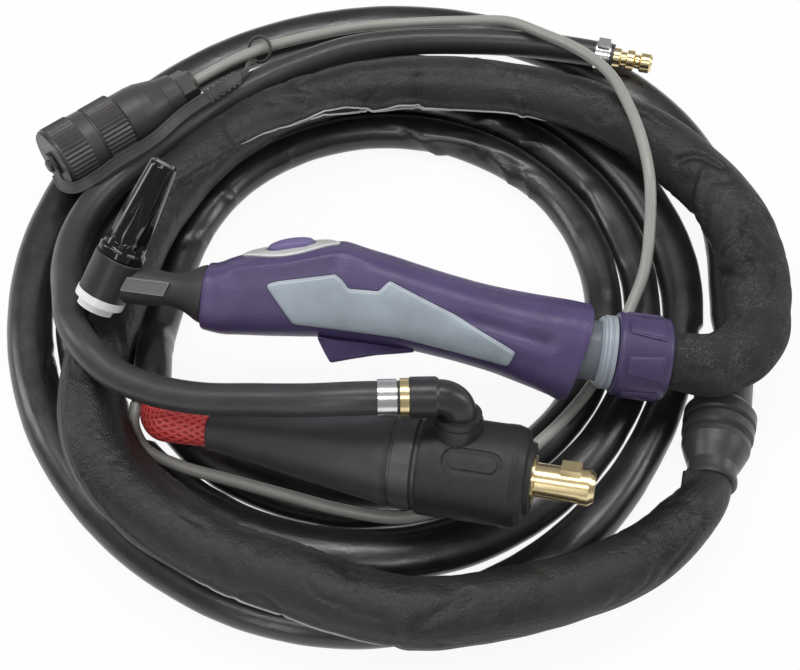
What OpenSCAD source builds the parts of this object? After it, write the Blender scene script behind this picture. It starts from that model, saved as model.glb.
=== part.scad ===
/* [Torch head] */
// Diameter of the moulded head
head_d = 18; // [16:0.5:20]
// Length of the head in front of the neck's axis
head_front = 5; // [4.5:0.5:8]
// Length of the head behind the neck's axis
head_back = 10.5; // [9.5:0.5:14]
// Angle between the head's axis and the handle's
head_angle = 70; // [60:1:85]
// Diameter of the brass core of the head
core_d = 11; // [10.5:0.5:12]
// Bore of the collet body's thread
collet_bore_d = 8.8; // [8:0.1:9.2]
// Depth of the collet body's thread
collet_depth = 7; // [5:0.5:8]
// Bore of the back cap's thread
cap_bore_d = 9; // [8:0.1:9.4]
// Diameter of the white insulator
insulator_d = 18.5; // [16:0.5:20]
// Length of the insulator's wide part
insulator_wide = 3; // [2:0.5:5]
// Length of the insulator's narrow part
insulator_narrow = 3; // [2:0.5:5]
// Diameter of the insulator's narrow part
insulator_nose_d = 14.8; // [13:0.2:15.6]
// Bore of the insulator
insulator_bore_d = 9.6; // [9:0.2:11]

/* [Back cap] */
// Diameter of the back cap's base
cap_base_d = 17.4; // [16:0.2:19]
// Length of the back cap's base
cap_base_len = 3.7; // [3:0.1:6]
// Diameter of the back cap above its base
cap_d = 15.6; // [14:0.2:15.8]
// Diameter of the back cap's tip
cap_tip_d = 10; // [8:0.5:12]
// Length of the back cap outside the head
cap_len = 38; // [30:1:60]
// Number of grip flutes
flutes = 6; // [4:1:8]
// Length of a grip flute
flute_len = 18; // [12:1:20]
// Thickness of the back cap's seal
seal_t = 1.8; // [1.4:0.1:2]

/* [Neck] */
// Length of the neck from the head's axis to the handle
neck_len = 35.5; // [33:0.5:45]
// Diameter of the neck where it leaves the head
neck_root_d = 14; // [12:0.5:15]
// Diameter of the neck's waist
neck_waist_d = 12.4; // [11:0.2:13]
// Diameter of the neck's flare
neck_flare_d = 21.6; // [19:0.2:22]
// Diameter of the neck's spigot in the handle
spigot_d = 16.6; // [14:0.2:17]
// Length of the neck's spigot
spigot_len = 10; // [6:0.5:12]
// Diameter of the power tube
tube_d = 7; // [6:0.2:8]
// Length of the power tube inside the handle
tube_len = 80; // [60:1:95]
// Length of the neck's plate
plate_len = 16.5; // [12:0.5:18]
// Width of the neck's plate
plate_w = 5.2; // [4:0.2:6]

/* [Handle] */
// Length of the handle
handle_len = 141; // [138:1:165]
// Wall of the handle's shells
shell_wall = 2.2; // [1.6:0.1:2.6]
// Squareness of the handle's section
squareness = 2.8; // [2.2:0.1:3.4]
// Depth of the finger stop under the handle
stop_depth = 7; // [4:0.5:9]
// Lean of the handle's rear face, in degrees
rear_lean = 10; // [0:1:14]
// How far the inlays stand proud of the shells
inlay_proud = 0.5; // [0.2:0.1:1]
// Thickness of the inlays
inlay_t = 1.4; // [1:0.1:1.6]
// Gap around inlays and bezel
trim_gap = 0.15; // [0.05:0.05:0.3]

/* [Trigger] */
// Distance from the handle's front to the button's middle
button_at = 29.5; // [27:0.5:33]
// Length of the button
button_len = 17; // [14:0.5:19]
// Width of the button
button_w = 9.6; // [8:0.2:10.4]
// How far the button stands proud
button_proud = 2.8; // [1.5:0.1:4]
// Travel of the button
button_travel = 1.5; // [1:0.1:2]
// Length of the bezel
bezel_len = 35; // [32:0.5:38]
// Width of the bezel
bezel_w = 17.4; // [15:0.2:19]
// Thickness of the bezel below the shells' surface
bezel_t = 1.2; // [1:0.1:1.6]
// How far the bezel stands proud
bezel_proud = 0.8; // [0.4:0.1:1.2]
// Running gap around the button
button_gap = 0.3; // [0.2:0.05:0.5]
// Height of the switch under the button
switch_h = 6; // [5:0.5:7]

/* [Handle screws] */
// Diameter of a screw's shank
screw_d = 2.9; // [2.5:0.1:3.5]
// Diameter of a screw's head
screw_head_d = 5.6; // [5:0.1:6.4]
// Length of a screw's shank
screw_len = 13; // [10:0.5:14]
// Wall of a screw boss
boss_wall = 1.6; // [1.2:0.1:2]

/* [Knuckle] */
// Diameter of the knuckle's ball
ball_d = 25.6; // [24:0.1:26]
// Thickness of the seat around the ball
seat_t = 1.25; // [1:0.05:1.3]
// Running gap of the ball and of its seat
ball_gap = 0.05; // [0.03:0.01:0.1]
// Length of the seat
seat_len = 9.5; // [8:0.5:10]
// Distance from the ball's middle to the handle's rear
ball_inset = 8.5; // [8:0.5:10]
// Distance from the ball's middle to the clamp ring
ring_at = 12; // [11.5:0.5:15]
// Diameter of the clamp ring
ring_d = 27.2; // [26:0.2:29]
// Length of the clamp ring
ring_len = 5.6; // [4.5:0.1:8]
// Diameter of the cover nut over its pads
nut_d = 32; // [30:0.5:34]
// Length of the cover nut
nut_len = 20; // [17:0.5:24]
// Height of the nut's raised pads
pad_h = 0.9; // [0.4:0.1:1.4]
// Number of pads around the nut
pads = 6; // [4:1:8]
// Diameter of the nut's thread
nut_thread_d = 22; // [20:0.2:24]
// Running gap of the nut's thread
thread_gap = 0.1; // [0.05:0.01:0.15]
// Diameter of the hose inside the knuckle
core_hose_d = 13; // [11:0.5:14]

/* [Leads] */
// Diameter of the leather cover
leather_d = 24.8; // [22:0.2:25]
// Diameter of the lead's smooth sleeve
sleeve_d = 14.4; // [12:0.2:14.4]
// Step between the sleeve's turns
coil_step = 15.2; // [15.2:0.1:15.6]
// Diameter of the gas hose
hose_d = 11.5; // [10:0.1:12]
// Diameter of the grey control cable
cable_d = 4.6; // [4:0.1:5]
// Diameter of the braided power cable
braid_d = 11.5; // [10:0.1:12]
// Length of the cover joint
joint_len = 69; // [68:0.5:70]
// Diameter of the cover joint's large rings
joint_d = 27; // [25:0.5:27]

/* [Power connector] */
// Diameter of the connector's body
conn_d = 36; // [34:0.5:38]
// Length of the connector's body
conn_len = 37; // [34:0.5:42]
// Diameter of the contact pin
pin_d = 13; // [12.6:0.1:13.4]
// Length of the contact pin in front of the body
pin_len = 23; // [20:0.5:26]
// Width of the pin's key
key_w = 5.5; // [4:0.5:6]
// Height of the pin's key
key_h = 1.8; // [1:0.1:2.5]
// Length of the cable boot
boot_len = 68; // [60:1:75]
// Diameter of the cable boot's large end
boot_d = 33.4; // [30:0.2:34]
// Length of a grip recess
grip_len = 21; // [18:0.5:24]
// Width of a grip recess
grip_w = 9.5; // [8:0.5:11]
// Depth of a grip recess
grip_depth = 1.2; // [0.6:0.1:1.8]

/* [Gas elbow] */
// Height of the hose's axis above the connector's axis
elbow_h = 31; // [30:0.5:34]
// Diameter of the elbow's tube
elbow_d = 12; // [11:0.5:13]
// Bend radius of the elbow
elbow_r = 7; // [6.5:0.5:8]
// Diameter of the elbow's collar
collar_d = 14; // [13:0.2:15]
// Length of the elbow's collar
collar_len = 10; // [8:0.5:12]
// Length of the brass ring behind the collar
tail_ring_len = 3; // [2:0.5:4]
// Width of an ear clamp's band
clamp_w = 6.5; // [5:0.5:8]
// Thickness of an ear clamp's band
clamp_t = 0.6; // [0.4:0.1:0.9]

/* [Gas plug] */
// Length of the gas plug outside the hose
gas_plug_len = 17; // [15:0.5:20]
// Diameter of the gas plug
gas_plug_d = 9; // [8:0.1:10]

/* [Control plug] */
// Outer diameter of the dust cap
dust_cap_d = 29; // [28:0.2:29]
// Length of the dust cap
dust_cap_len = 18.5; // [17:0.5:20]
// Length of the dust cap's knurled part
dust_knurl_len = 13; // [10:0.5:14]
// Outer diameter of the coupling ring
coupling_d = 28; // [27:0.2:28.6]
// Length of the coupling ring
coupling_len = 13.2; // [11:0.2:15]
// Inner diameter of dust cap and coupling ring
barrel_d = 23.2; // [22:0.2:24]
// Number of knurl ribs around the ring and the cap
knurl_ribs = 48; // [36:2:60]
// Depth of the knurls
knurl_depth = 0.5; // [0.3:0.1:0.8]
// Length of the plug's tapered body
plug_len = 29; // [25:0.5:29]
// Diameter of the plug's body at its small end
plug_tail_d = 17; // [15:0.5:18]
// Width across the flats of the gland nut
gland_af = 13.4; // [12:0.2:15]
// Length of the gland nut
gland_len = 8; // [7:0.5:8]
// Number of contact pins
contacts = 5; // [3:1:7]
// Diameter of the dust cap's rivet
rivet_d = 5.6; // [4.5:0.1:7]
// Width of the strap
strap_w = 4.5; // [3:0.5:6]
// Thickness of the strap
strap_t = 1.5; // [1:0.1:2]

/* [Hidden] */
$fn = 64;

// The head's middle above the coil's middle, and how the torch lies
head_at = [-105, -31, 54];
torch_turn = [48, 4.8, -6];
// The connector's and the control plug's places, and how they lie
connector_at = [21, -99, 38];
connector_turn = [-22, -4.5, -12];
plug_at = [-140, 45.5, 29];
plug_turn = [0, 0, 40];
gas_plug_at = [95, 113, 20.6];
gas_plug_turn = [0, 0, -14];
joint_at = [113, -95.5, 18.5];
joint_turn = [0, 7, 74.8];
elbow_swing = 15;

// The sleeve lies on this level, where its underside is flattened
floor_z = sleeve_d / 10;
cord_sides = 12;

// Lengths and places along the handle
tail_x = neck_len + handle_len;
ball_x = tail_x - ball_inset;
tail_t = -1.5;
bezel_x = neck_len + button_at;
bulkhead_x = ball_x - 14;
seal_hole_d = core_d + 2 * seal_t - 1.6;
side_steps = 12;

// Handle outline: place, top, bottom, half width, lean share, rim inset
STATIONS = [
    [neck_len, 11.4, -13, 12, 0, 1.4],
    [neck_len + 1.5, 11.4, -13, 12, 0, 0],
    [neck_len + 8.5, 14.3, -13, 12.8, 0, 0],
    [neck_len + 14.5, 17, -12.4, 13.2, 0, 0],
    [neck_len + 24.5, 20.4, -11.4, 13.8, 0, 0],
    [neck_len + 36.5, 23.8, -10, 14.2, 0, 0],
    [neck_len + 43.5, 25, -9.2, 14.4, 0, 0],
    [neck_len + 48.5, 25.2, -9.3 - stop_depth, 14.4, 0, 0],
    [neck_len + 56, 24.3, -9.4 - stop_depth * 0.7, 14.2, 0, 0],
    [neck_len + 65, 23, -9.4 - stop_depth * 0.32, 14, 0, 0],
    [neck_len + 75.5, 21, -9.4, 13.9, 0, 0],
    [tail_x - 52, 18.6, -10.8, 14.2, 0, 0],
    [tail_x - 37, 16.6, -13, 14.8, 0, 0],
    [tail_x - 21.5, 15.6, -16, 16, 0.4, 0],
    [tail_x - 8, 15.2, -19, 16.3, 0.8, 0],
    [tail_x - 1.6, 14.8, -20.5, 16.2, 1, 0],
    [tail_x, 14.8, -20.5, 16.2, 1, 1.3]];
function top_at(x) = lookup(x, [for (s = STATIONS) [s[0], s[1]]]);
button_slope = atan((top_at(bezel_x + 8) - top_at(bezel_x - 8)) / 16);

// Inlay outline: forward end, upper edge with its notch, tail and lower edge
inlay_x = neck_len + 22.5;
INLAY = [[0, 9.9], [4.5, 11.7], [24.2, 17], [26.8, 15.5], [29.5, 12.6], [40.2, 13],
    [43.5, 17.2], [47, 15.8], [67.9, 8.4], [91.4, -1.9], [89.5, -8], [49.7, -3.3],
    [11.4, -3.3]];

// Screws by place along the handle and height
SCREWS = [[neck_len + 14.5, -7.5], [neck_len + 60, 18], [tail_x - 27, -10]];

// The leather cover's route, from the cover nut round the coil to the cover joint
COVER_ROUTE = [[99.4, -53.5, 35.6], [105.4, -54.1, 35.1], [114.8, -55.1, 34.8],
    [126, -52, 36], [135, -43, 35], [140, -30, 32], [143, -14, 29], [143, 4, 27],
    [138, 23, 27], [127, 42, 27], [110, 60, 27], [88, 74, 27], [64, 83, 27], [38, 89, 27],
    [12, 91, 27], [-15, 88, 27], [-41, 78, 27], [-63, 64, 27], [-82, 45, 27], [-96, 23, 27],
    [-104, 0, 27], [-109, -23, 27], [-112, -46, 27], [-112, -70, 27], [-104, -93, 27],
    [-87, -113, 27], [-64, -128, 27], [-38, -138, 27], [-12, -144.5, 27], [14, -147, 27],
    [38, -145, 26], [60, -140, 23], [79, -133, 21], [95, -123, 20], [105, -113, 20],
    [110.7, -104, 19.6], [113, -95.5, 18.5]];
// The gas hose's route, from the elbow round the head to the gas plug
HOSE_ROUTE = [[1.2, -87.8, 67.1], [-12.8, -88.3, 67.4], [-30, -87, 64], [-49, -83, 57.5],
    [-68, -79, 51.5], [-86, -73, 47.5], [-101, -65, 46], [-112, -54, 46],
    [-119.5, -41, 44], [-123, -28, 40.5], [-127, -10, 34], [-127, 8, 30], [-122, 25, 28.5],
    [-115, 36, 28], [-107, 45, 28], [-98.3, 54.3, 28.5], [-87.3, 66.2, 28.5], [-76, 78, 28],
    [-59, 92, 27.5], [-41, 104, 26], [-20, 114, 25], [4, 120, 23], [30, 122, 21.5],
    [56, 121, 20.8], [77, 117.5, 20.6], [95, 113, 20.6]];
// The control cable's route, from the sleeve's end under the knuckle to the plug
CABLE_ROUTE = [[-96.7, -63.4, 21], [-96.9, -72, 20.5], [-91, -82, 19.5], [-78, -88, 18],
    [-60, -93, 17], [-40, -99, 17], [-19, -105, 17], [2, -108, 17], [20, -103, 17],
    [36, -93, 17], [50, -80, 17], [62, -68, 17], [73, -54, 17], [82, -38, 17],
    [90, -21, 18.5], [97, -5, 24], [99.5, 10, 31], [100, 28, 40], [98, 47, 43],
    [94, 66, 43], [88, 85, 41], [77, 103, 36], [63, 117.5, 30.8], [49, 127.5, 28],
    [31, 134, 22], [8, 136.5, 18.5], [-18, 132, 20], [-42, 122, 23.5], [-60, 112, 26.5],
    [-76, 99.2, 29], [-90.2, 87.3, 29]];
// The braided cable's route, from the sleeve's end to the connector's boot
BRAID_ROUTE = [[-88.8, -63.4, 21.2], [-88.5, -69.5, 22.6], [-85.4, -74.8, 25.6],
    [-80.5, -77.6, 28.6], [-66.8, -80.3, 30.9]];
// The strap's route, from the dust cap's rivet to its ring
STRAP_ROUTE = [[-138.8, 40.5, 29], [-135, 33.5, 30], [-129, 30, 32.5], [-121, 32, 36],
    [-111, 40, 38], [-99, 50, 38.5], [-88, 64, 38.5], [-78, 74, 38.5], [-70, 82, 38], [-64, 90, 36],
    [-63.5, 99, 31.5], [-61.9, 108.8, 22.9]];
strap_ring_at = [-60, 111.7, 27];

// Widening of the leather cover from the nut and its narrowing at the cover joint
function cover_r(i) = let (n = len(COVER_ROUTE) - 1)
    leather_d / 2 * (i == 0 ? 0.82 : i == n ? 0.66 : i == n - 1 ? 0.8 : i == n - 2 ? 0.94 : 1);

function ease(t) = let (u = min(1, max(0, t))) u * u * (3 - 2 * u);
function unit(v) = v / norm(v);
function tangent(p, i) = i == 0 ? unit(p[1] - p[0])
    : i == len(p) - 1 ? unit(p[i] - p[i - 1])
    : unit(unit(p[i + 1] - p[i]) + unit(p[i] - p[i - 1]));

// The sleeve's turns: one wide turn, then turns that wind inward by the coil's step
coil_start = -5;
coil_end = 1250;
turn_rings = 24;
function coil_r(phi) = 134.5 + 14 * ease((phi + 12) / 52) - 27.5 * ease((phi - 245) / 95)
    + 6 * (ease((phi - 370) / 140) - ease((phi - 600) / 105))
    - max(0, phi - 345) / 360 * coil_step;
function coil_point(phi) = let (k = ease((phi - 245) / 95))
    [coil_r(phi) * cos(phi) - 7 * k, coil_r(phi) * sin(phi) - 4 * k, sleeve_d / 2];
COIL = [for (phi = [coil_start:360 / turn_rings:coil_end]) coil_point(phi)];
SLEEVE_ROUTE = concat([[131.1, -28.9, 10]], COIL, [[-94, -25, 10.5], [-93, -38, 17],
    [-92, -49, 20.5], [-91.3, -63.3, 21]]);

// Least gap between turns, from the distance of points half a turn and more apart
function turn_gap(i) = min([for (j = [i + turn_rings / 2:len(COIL) - 2])
    segment_distance(COIL[i], COIL[j], COIL[j + 1])]);
function segment_distance(p, a, b) = let (t = min(1, max(0, (p - a) * (b - a)
    / ((b - a) * (b - a))))) norm(p - a - t * (b - a));
coil_gap = min([for (i = [0:len(COIL) - turn_rings / 2 - 3]) turn_gap(i)]) - sleeve_d;
function route_len(p) = [for (i = 1, s = norm(p[1] - p[0]); i < len(p);
    i = i + 1, s = s + (i < len(p) ? norm(p[i] - p[i - 1]) : 0)) s][len(p) - 2];
echo(coil_gap = coil_gap);
echo(sleeve_length = route_len(SLEEVE_ROUTE), cover_length = route_len(COVER_ROUTE));
echo(hose_length = route_len(HOSE_ROUTE), cable_length = route_len(CABLE_ROUTE));

// ---- Shared shapes ----

// One tube along a route, with a radius for each of its points
module tube(route, radii, sides, lowest = -1000) {
    n = len(route);
    points = [for (i = [0:n - 1]) let (t = tangent(route, i), u = unit(cross(t, [0, 0, 1])),
        v = cross(u, t)) for (k = [0:sides - 1]) let (a = 360 * (k + 0.5) / sides,
        p = route[i] + radii[i] * (cos(a) * u + sin(a) * v)) [p.x, p.y, max(lowest, p.z)]];
    walls = [for (i = [0:n - 2]) for (k = [0:sides - 1]) let (m = (k + 1) % sides)
        each [[i * sides + k, i * sides + m, i * sides + m + sides],
        [i * sides + k, i * sides + m + sides, i * sides + k + sides]]];
    ends = [for (k = [1:sides - 2]) each [[0, k + 1, k],
        [(n - 1) * sides, (n - 1) * sides + k, (n - 1) * sides + k + 1]]];
    polyhedron(points, concat(walls, ends));
}

// A turned shape along X, from radii and places
module turned(profile) {
    rotate([0, 90, 0]) rotate_extrude() polygon(profile);
}

// A hollow cylinder along X
module sleeve_ring(from, length, outer_d, inner_d) {
    turned([[inner_d / 2, from], [outer_d / 2, from], [outer_d / 2, from + length],
        [inner_d / 2, from + length]]);
}

// A flat pill with round ends
module pill(length, width) {
    square([length - width, width], center = true);
    for (side = [-1, 1]) translate([side * (length - width) / 2, 0]) circle(d = width);
}

// A ring with knurl ribs along its outside
module knurled(from, length, outer_d, inner_d) {
    translate([from, 0, 0]) rotate([0, 90, 0]) linear_extrude(length) difference() {
        polygon([for (i = [0:2 * knurl_ribs - 1]) let (a = 180 * i / knurl_ribs,
            r = outer_d / 2 - (i % 2) * knurl_depth) [r * cos(a), r * sin(a)]]);
        circle(d = inner_d);
    }
}

// An ear clamp round a hose along X, with its ear along Z
module ear_clamp(from, hose) {
    sleeve_ring(from, clamp_w, hose + 2 * clamp_t + 0.1, hose + 0.1);
    difference() {
        translate([from + clamp_w * 0.1, -2.2, hose / 2 + clamp_t * 0.5])
            cube([clamp_w * 0.8, 4.4, 2.4]);
        translate([from, -1.3, hose / 2 + clamp_t * 0.5 + 0.6]) cube([clamp_w, 2.6, 1.1]);
    }
}

// ---- Frames ----

module on_coil() { translate(-head_at) children(); }
module torch() { rotate(torch_turn) children(); }
module head_axis() { torch() rotate([0, 0, head_angle]) children(); }
module knuckle_axis() { torch() translate([ball_x, tail_t, 0]) children(); }
module button_axis() {
    torch() translate([bezel_x, top_at(bezel_x), 0]) rotate([0, 0, button_slope])
        rotate([-90, 0, 0]) children();
}
module connector() { translate(connector_at - head_at) rotate(connector_turn) children(); }
module elbow_outlet() {
    connector() translate([0, 0, elbow_h]) rotate([0, 0, 180 + elbow_swing]) children();
}
module control_plug() { translate(plug_at - head_at) rotate(plug_turn) children(); }
module gas_plug_axis() {
    translate(gas_plug_at - head_at) rotate(gas_plug_turn) children();
}

// ---- Torch head ----

module head_body() {
    color("#2b2b2b") head_axis() difference() {
        turned([[core_d / 2, -head_front], [head_d / 2, -head_front],
            [head_d / 2, head_back - 0.5], [head_d / 2 - 0.5, head_back],
            [seal_hole_d / 2, head_back], [seal_hole_d / 2, head_back - seal_t - 0.1],
            [core_d / 2, head_back - seal_t - 0.1]]);
        rotate([0, 0, -head_angle]) translate([core_d / 4, 0, 0]) rotate([0, 90, 0])
            cylinder(h = head_d, d = tube_d);
    }
}

module head_core() {
    color("#c9a24a") head_axis() {
        sleeve_ring(-head_front, collet_depth, core_d, collet_bore_d);
        sleeve_ring(collet_depth - head_front, 2, core_d, tube_d - 2);
        sleeve_ring(collet_depth - head_front + 2,
            head_back - seal_t - 0.1 - collet_depth + head_front - 2, core_d, cap_bore_d);
    }
}

module front_insulator() {
    wide_end = -head_front - insulator_wide;
    color("#f2f2ee") head_axis() difference() {
        turned([[insulator_bore_d / 2, -head_front], [insulator_d / 2, -head_front],
            [insulator_d / 2, wide_end], [insulator_nose_d / 2, wide_end],
            [insulator_nose_d / 2, wide_end - insulator_narrow],
            [insulator_bore_d / 2, wide_end - insulator_narrow]]);
        for (side = [-1, 1]) translate([wide_end - insulator_narrow - 1,
            side * (insulator_nose_d / 2 + 4.2) - 5, -15]) cube([insulator_narrow + 1, 10, 30]);
    }
}

module back_cap() {
    base = head_back + 0.3;
    shoulder = base + cap_base_len;
    tip = base + cap_len;
    flute_from = shoulder + 4;
    flute_slope = atan((cap_d - cap_tip_d) / 2 / (tip - shoulder));
    color("#1d1d1f") head_axis() {
        difference() {
            turned([[0, collet_depth - head_front + 2.6], [cap_bore_d / 2 - ball_gap,
                collet_depth - head_front + 2.6], [cap_bore_d / 2 - ball_gap, base],
                [cap_base_d / 2, base], [cap_base_d / 2, shoulder - 1],
                [cap_d / 2, shoulder], [cap_tip_d / 2 + 0.05, tip - 1.2],
                [cap_tip_d / 2 - 1.2, tip], [0, tip]]);
            for (i = [0:flutes - 1]) rotate([360 / flutes * (i + 0.5), 0, 0])
                translate([flute_from, 0, cap_d / 2 + 0.9]) rotate([0, flute_slope * 1.6, 0]) {
                    sphere(r = 2.9);
                    rotate([0, 90, 0]) cylinder(h = flute_len, r1 = 2.9, r2 = 0.6);
                }
        }
    }
}

module back_cap_seal() {
    color("#3a3a3c") head_axis() rotate([0, 90, 0])
        translate([0, 0, head_back + 0.2 - seal_t / 2 - 0.15])
        rotate_extrude() translate([cap_bore_d / 2 + seal_t / 2 + 0.1, 0]) circle(d = seal_t - 0.1);
}

// ---- Neck ----

module neck() {
    color("#333335") torch() difference() {
        turned([[tube_d / 2, 2], [neck_root_d / 2, 2], [neck_root_d / 2, 13],
            [neck_root_d / 2 - 0.3, 16.5], [neck_waist_d / 2 + 0.1, 21],
            [neck_waist_d / 2, 23.5], [neck_waist_d / 2 + 0.3, neck_len - 10],
            [neck_waist_d / 2 + 1.1, neck_len - 7], [neck_flare_d / 2 - 2, neck_len - 3.6],
            [neck_flare_d / 2 - 0.5, neck_len - 1.6], [neck_flare_d / 2, neck_len - 0.4],
            [neck_flare_d / 2, neck_len], [spigot_d / 2, neck_len],
            [spigot_d / 2, neck_len + spigot_len], [tube_d / 2, neck_len + spigot_len]]);
        rotate([0, 0, head_angle]) rotate([0, 90, 0])
            cylinder(h = 60, d = head_d + 0.02, center = true);
    }
}

module neck_tube() {
    color("#b87333") torch() difference() {
        translate([core_d / 4, 0, 0]) rotate([0, 90, 0])
            cylinder(h = neck_len + spigot_len - core_d / 4, d = tube_d);
        rotate([0, 90, 0]) cylinder(h = 90, d = tube_d - 2);
        rotate([0, 0, head_angle]) rotate([0, 90, 0])
            cylinder(h = 60, d = core_d + 0.02, center = true);
    }
}

// The plate's front edge runs along the head, its other edges along the neck
module neck_plate() {
    slant = plate_w / tan(head_angle);
    from = head_d / 2 - 3;
    color("#8c8c8c") torch() difference() {
        translate([from, -1, 0]) linear_extrude(neck_root_d / 2 + 0.5)
            polygon([[0, 0], [plate_len - 1, 0], [plate_len + slant - 1, plate_w],
            [slant, plate_w]]);
        rotate([0, 90, 0]) cylinder(h = neck_len, d = neck_root_d + 0.02);
        rotate([0, 0, head_angle]) rotate([0, 90, 0])
            cylinder(h = 60, d = head_d + 0.3, center = true);
    }
}

// ---- Handle ----

// A point of the handle's outline at a station; angle -90 is its bottom, 90 its top
function outline_point(s, inset, a) = let (mid = (s[1] + s[2]) / 2, c = cos(a),
    h = (s[1] - s[2]) / 2 - inset, w = s[3] - inset,
    t = mid + h * sign(sin(a)) * pow(abs(sin(a)), 2 / squareness),
    side = abs(c) < 0.001 ? 0 : sign(c) * pow(abs(c), 2 / squareness))
    [s[0] + s[4] * tan(rear_lean) * (t - s[1]), t, w * side];
function wall_faces(rows, m) = [for (i = [0:rows - 2]) for (k = [0:m - 1])
    let (q = (k + 1) % m) each [[i * m + k, i * m + q, i * m + q + m],
    [i * m + k, i * m + q + m, i * m + k + m]]];

// One solid half of the handle, drawn in by an inset
module half_loft(stations, inset) {
    m = side_steps + 1;
    last = (len(stations) - 1) * m;
    points = [for (s = stations) for (k = [0:side_steps])
        outline_point(s, inset + s[5], 180 * k / side_steps - 90)];
    ends = [for (k = [1:m - 2]) each [[0, k + 1, k], [last, last + k, last + k + 1]]];
    polyhedron(points, concat(wall_faces(len(stations), m), ends));
}

// A skin that follows the handle's outline between two insets and two angles
module skin(stations, outer, inner, from_a, to_a) {
    steps = round((to_a - from_a) * side_steps / 180);
    m = 2 * steps + 2;
    last = (len(stations) - 1) * m;
    points = [for (s = stations) each concat(
        [for (k = [0:steps]) outline_point(s, outer + s[5], from_a + (to_a - from_a) * k / steps)],
        [for (k = [0:steps]) outline_point(s, inner, to_a - (to_a - from_a) * k / steps)])];
    ends = [for (k = [0:steps - 1]) each [[k, m - 2 - k, k + 1], [k, m - 1 - k, m - 2 - k],
        [last + k, last + k + 1, last + m - 2 - k],
        [last + k, last + m - 2 - k, last + m - 1 - k]]];
    polyhedron(points, concat(wall_faces(len(stations), m), ends));
}

module inlay_outline(grow) {
    offset(delta = grow) translate([inlay_x, 0]) offset(r = 1, $fn = 16)
        offset(delta = -1) polygon(INLAY);
}

// A boat shape between two arcs
module bezel_outline(grow) {
    half_l = bezel_len / 2 + grow;
    half_w = bezel_w / 2 + grow;
    arc_r = (half_l * half_l + half_w * half_w) / 2 / half_w;
    intersection() for (side = [-1, 1])
        translate([0, side * (arc_r - half_w)]) circle(arc_r, $fn = 96);
}

// The outline's columns at any place, and its half width at a height there
function station_at(x) = [x, for (c = [1:5]) lookup(x, [for (s = STATIONS) [s[0], s[c]]])];
function half_width(x, t) = let (s = station_at(x), mid = (s[1] + s[2]) / 2)
    s[3] * pow(1 - pow(abs(t - mid) / ((s[1] - s[2]) / 2), squareness), 1 / squareness);

BULKHEAD = concat([station_at(bulkhead_x)], [for (s = STATIONS)
    if (s[0] > bulkhead_x + 1 && s[0] < tail_x - 1) s],
    [concat([tail_x - 0.8], [for (c = [1:5]) STATIONS[len(STATIONS) - 2][c]])]);

// What one shell holds inside: screw bosses, the switch's cradle and the tube's ribs
module shell_inside() {
    boss_r = screw_d / 2 + boss_wall;
    for (p = SCREWS) translate([p.x, p.y, 0]) cylinder(r = boss_r,
        h = min(half_width(p.x, p.y - boss_r), half_width(p.x, p.y + boss_r))
        - shell_wall * 0.6);
    translate([bezel_x - 9, top_at(bezel_x) - 15.4, 3.5])
        cube([18, 3, half_width(bezel_x, top_at(bezel_x) - 14) - 3.5 - shell_wall * 0.6]);
    for (x = [neck_len + spigot_len + 12, neck_len + tube_len - 19])
        translate([x, -tube_d / 2 - 1.5, 0]) cube([2, tube_d + 3, half_width(x, 0) - shell_wall / 2]);
}

INLAY_STATIONS = [for (i = [3:14]) STATIONS[i]];
BEZEL_STATIONS = [for (i = [1:7]) STATIONS[i]];

// One shell of the handle, its parting plane on the handle's axis
module handle_half() {
    ball_hole = ball_d / 2 + 0.4;
    seat_hole = ball_d / 2 + seat_t + 0.15;
    seat_from = 3.4 - seat_len;
    lip_a = asin(-seat_from / ball_hole);
    difference() {
        union() {
            skin(STATIONS, 0, shell_wall, -90, 90);
            half_loft(BULKHEAD, shell_wall / 2);
            shell_inside();
        }
        intersection() {
            translate([0, 0, 4]) linear_extrude(20) inlay_outline(trim_gap);
            skin(INLAY_STATIONS, -3, inlay_t - inlay_proud + 0.05, -45, 60);
        }
        intersection() {
            translate([bezel_x, top_at(bezel_x) + 8, 0]) rotate([90, 0, 0])
                linear_extrude(20) bezel_outline(trim_gap);
            skin(BEZEL_STATIONS, -3, bezel_t + 0.05, 30, 150);
        }
        translate([bezel_x, top_at(bezel_x), 0]) rotate([0, 0, button_slope])
            rotate([90, 0, 0]) translate([0, 0, -10]) linear_extrude(16)
            pill(button_len + 2, button_w + 2);
        rotate([0, 90, 0]) cylinder(h = neck_len + tube_len + 1, d = tube_d + 0.2);
        rotate([0, 90, 0]) cylinder(h = neck_len + spigot_len + 0.3, d = spigot_d + 0.3);
        translate([ball_x, tail_t, 0]) turned([[0, -16], [9, -16],
            for (k = [0:3]) let (a = 45 + (lip_a - 45) * k / 3)
            [ball_hole * cos(a), -ball_hole * sin(a)],
            [seat_hole, seat_from], [seat_hole, 3.6],
            [ball_hole, 3.6], [ball_hole, 30], [0, 30]]);
    }
}

module screw_holes(depth, d) {
    for (p = SCREWS) translate([p.x, p.y, -depth]) cylinder(h = 2 * depth, d = d);
}

module handle_shell_left() {
    $fn = 32;
    color("#564a78") torch() difference() {
        handle_half();
        screw_holes(screw_len / 2 + 0.5, screw_d);
    }
}

module handle_shell_right() {
    $fn = 32;
    color("#564a78") torch() difference() {
        mirror([0, 0, 1]) handle_half();
        screw_holes(30, screw_d + 0.3);
        for (p = SCREWS) translate([p.x, p.y, -screw_len / 2 - 30])
            cylinder(h = 30, d = screw_head_d + 0.3);
    }
}

module inlay() {
    intersection() {
        skin(INLAY_STATIONS, -inlay_proud, inlay_t - inlay_proud, -45, 60);
        translate([0, 0, 4]) linear_extrude(20) inlay_outline(0);
    }
}
module side_inlay_left() { color("#9ba9b0") torch() inlay(); }
module side_inlay_right() { color("#9ba9b0") torch() mirror([0, 0, 1]) inlay(); }

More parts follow.
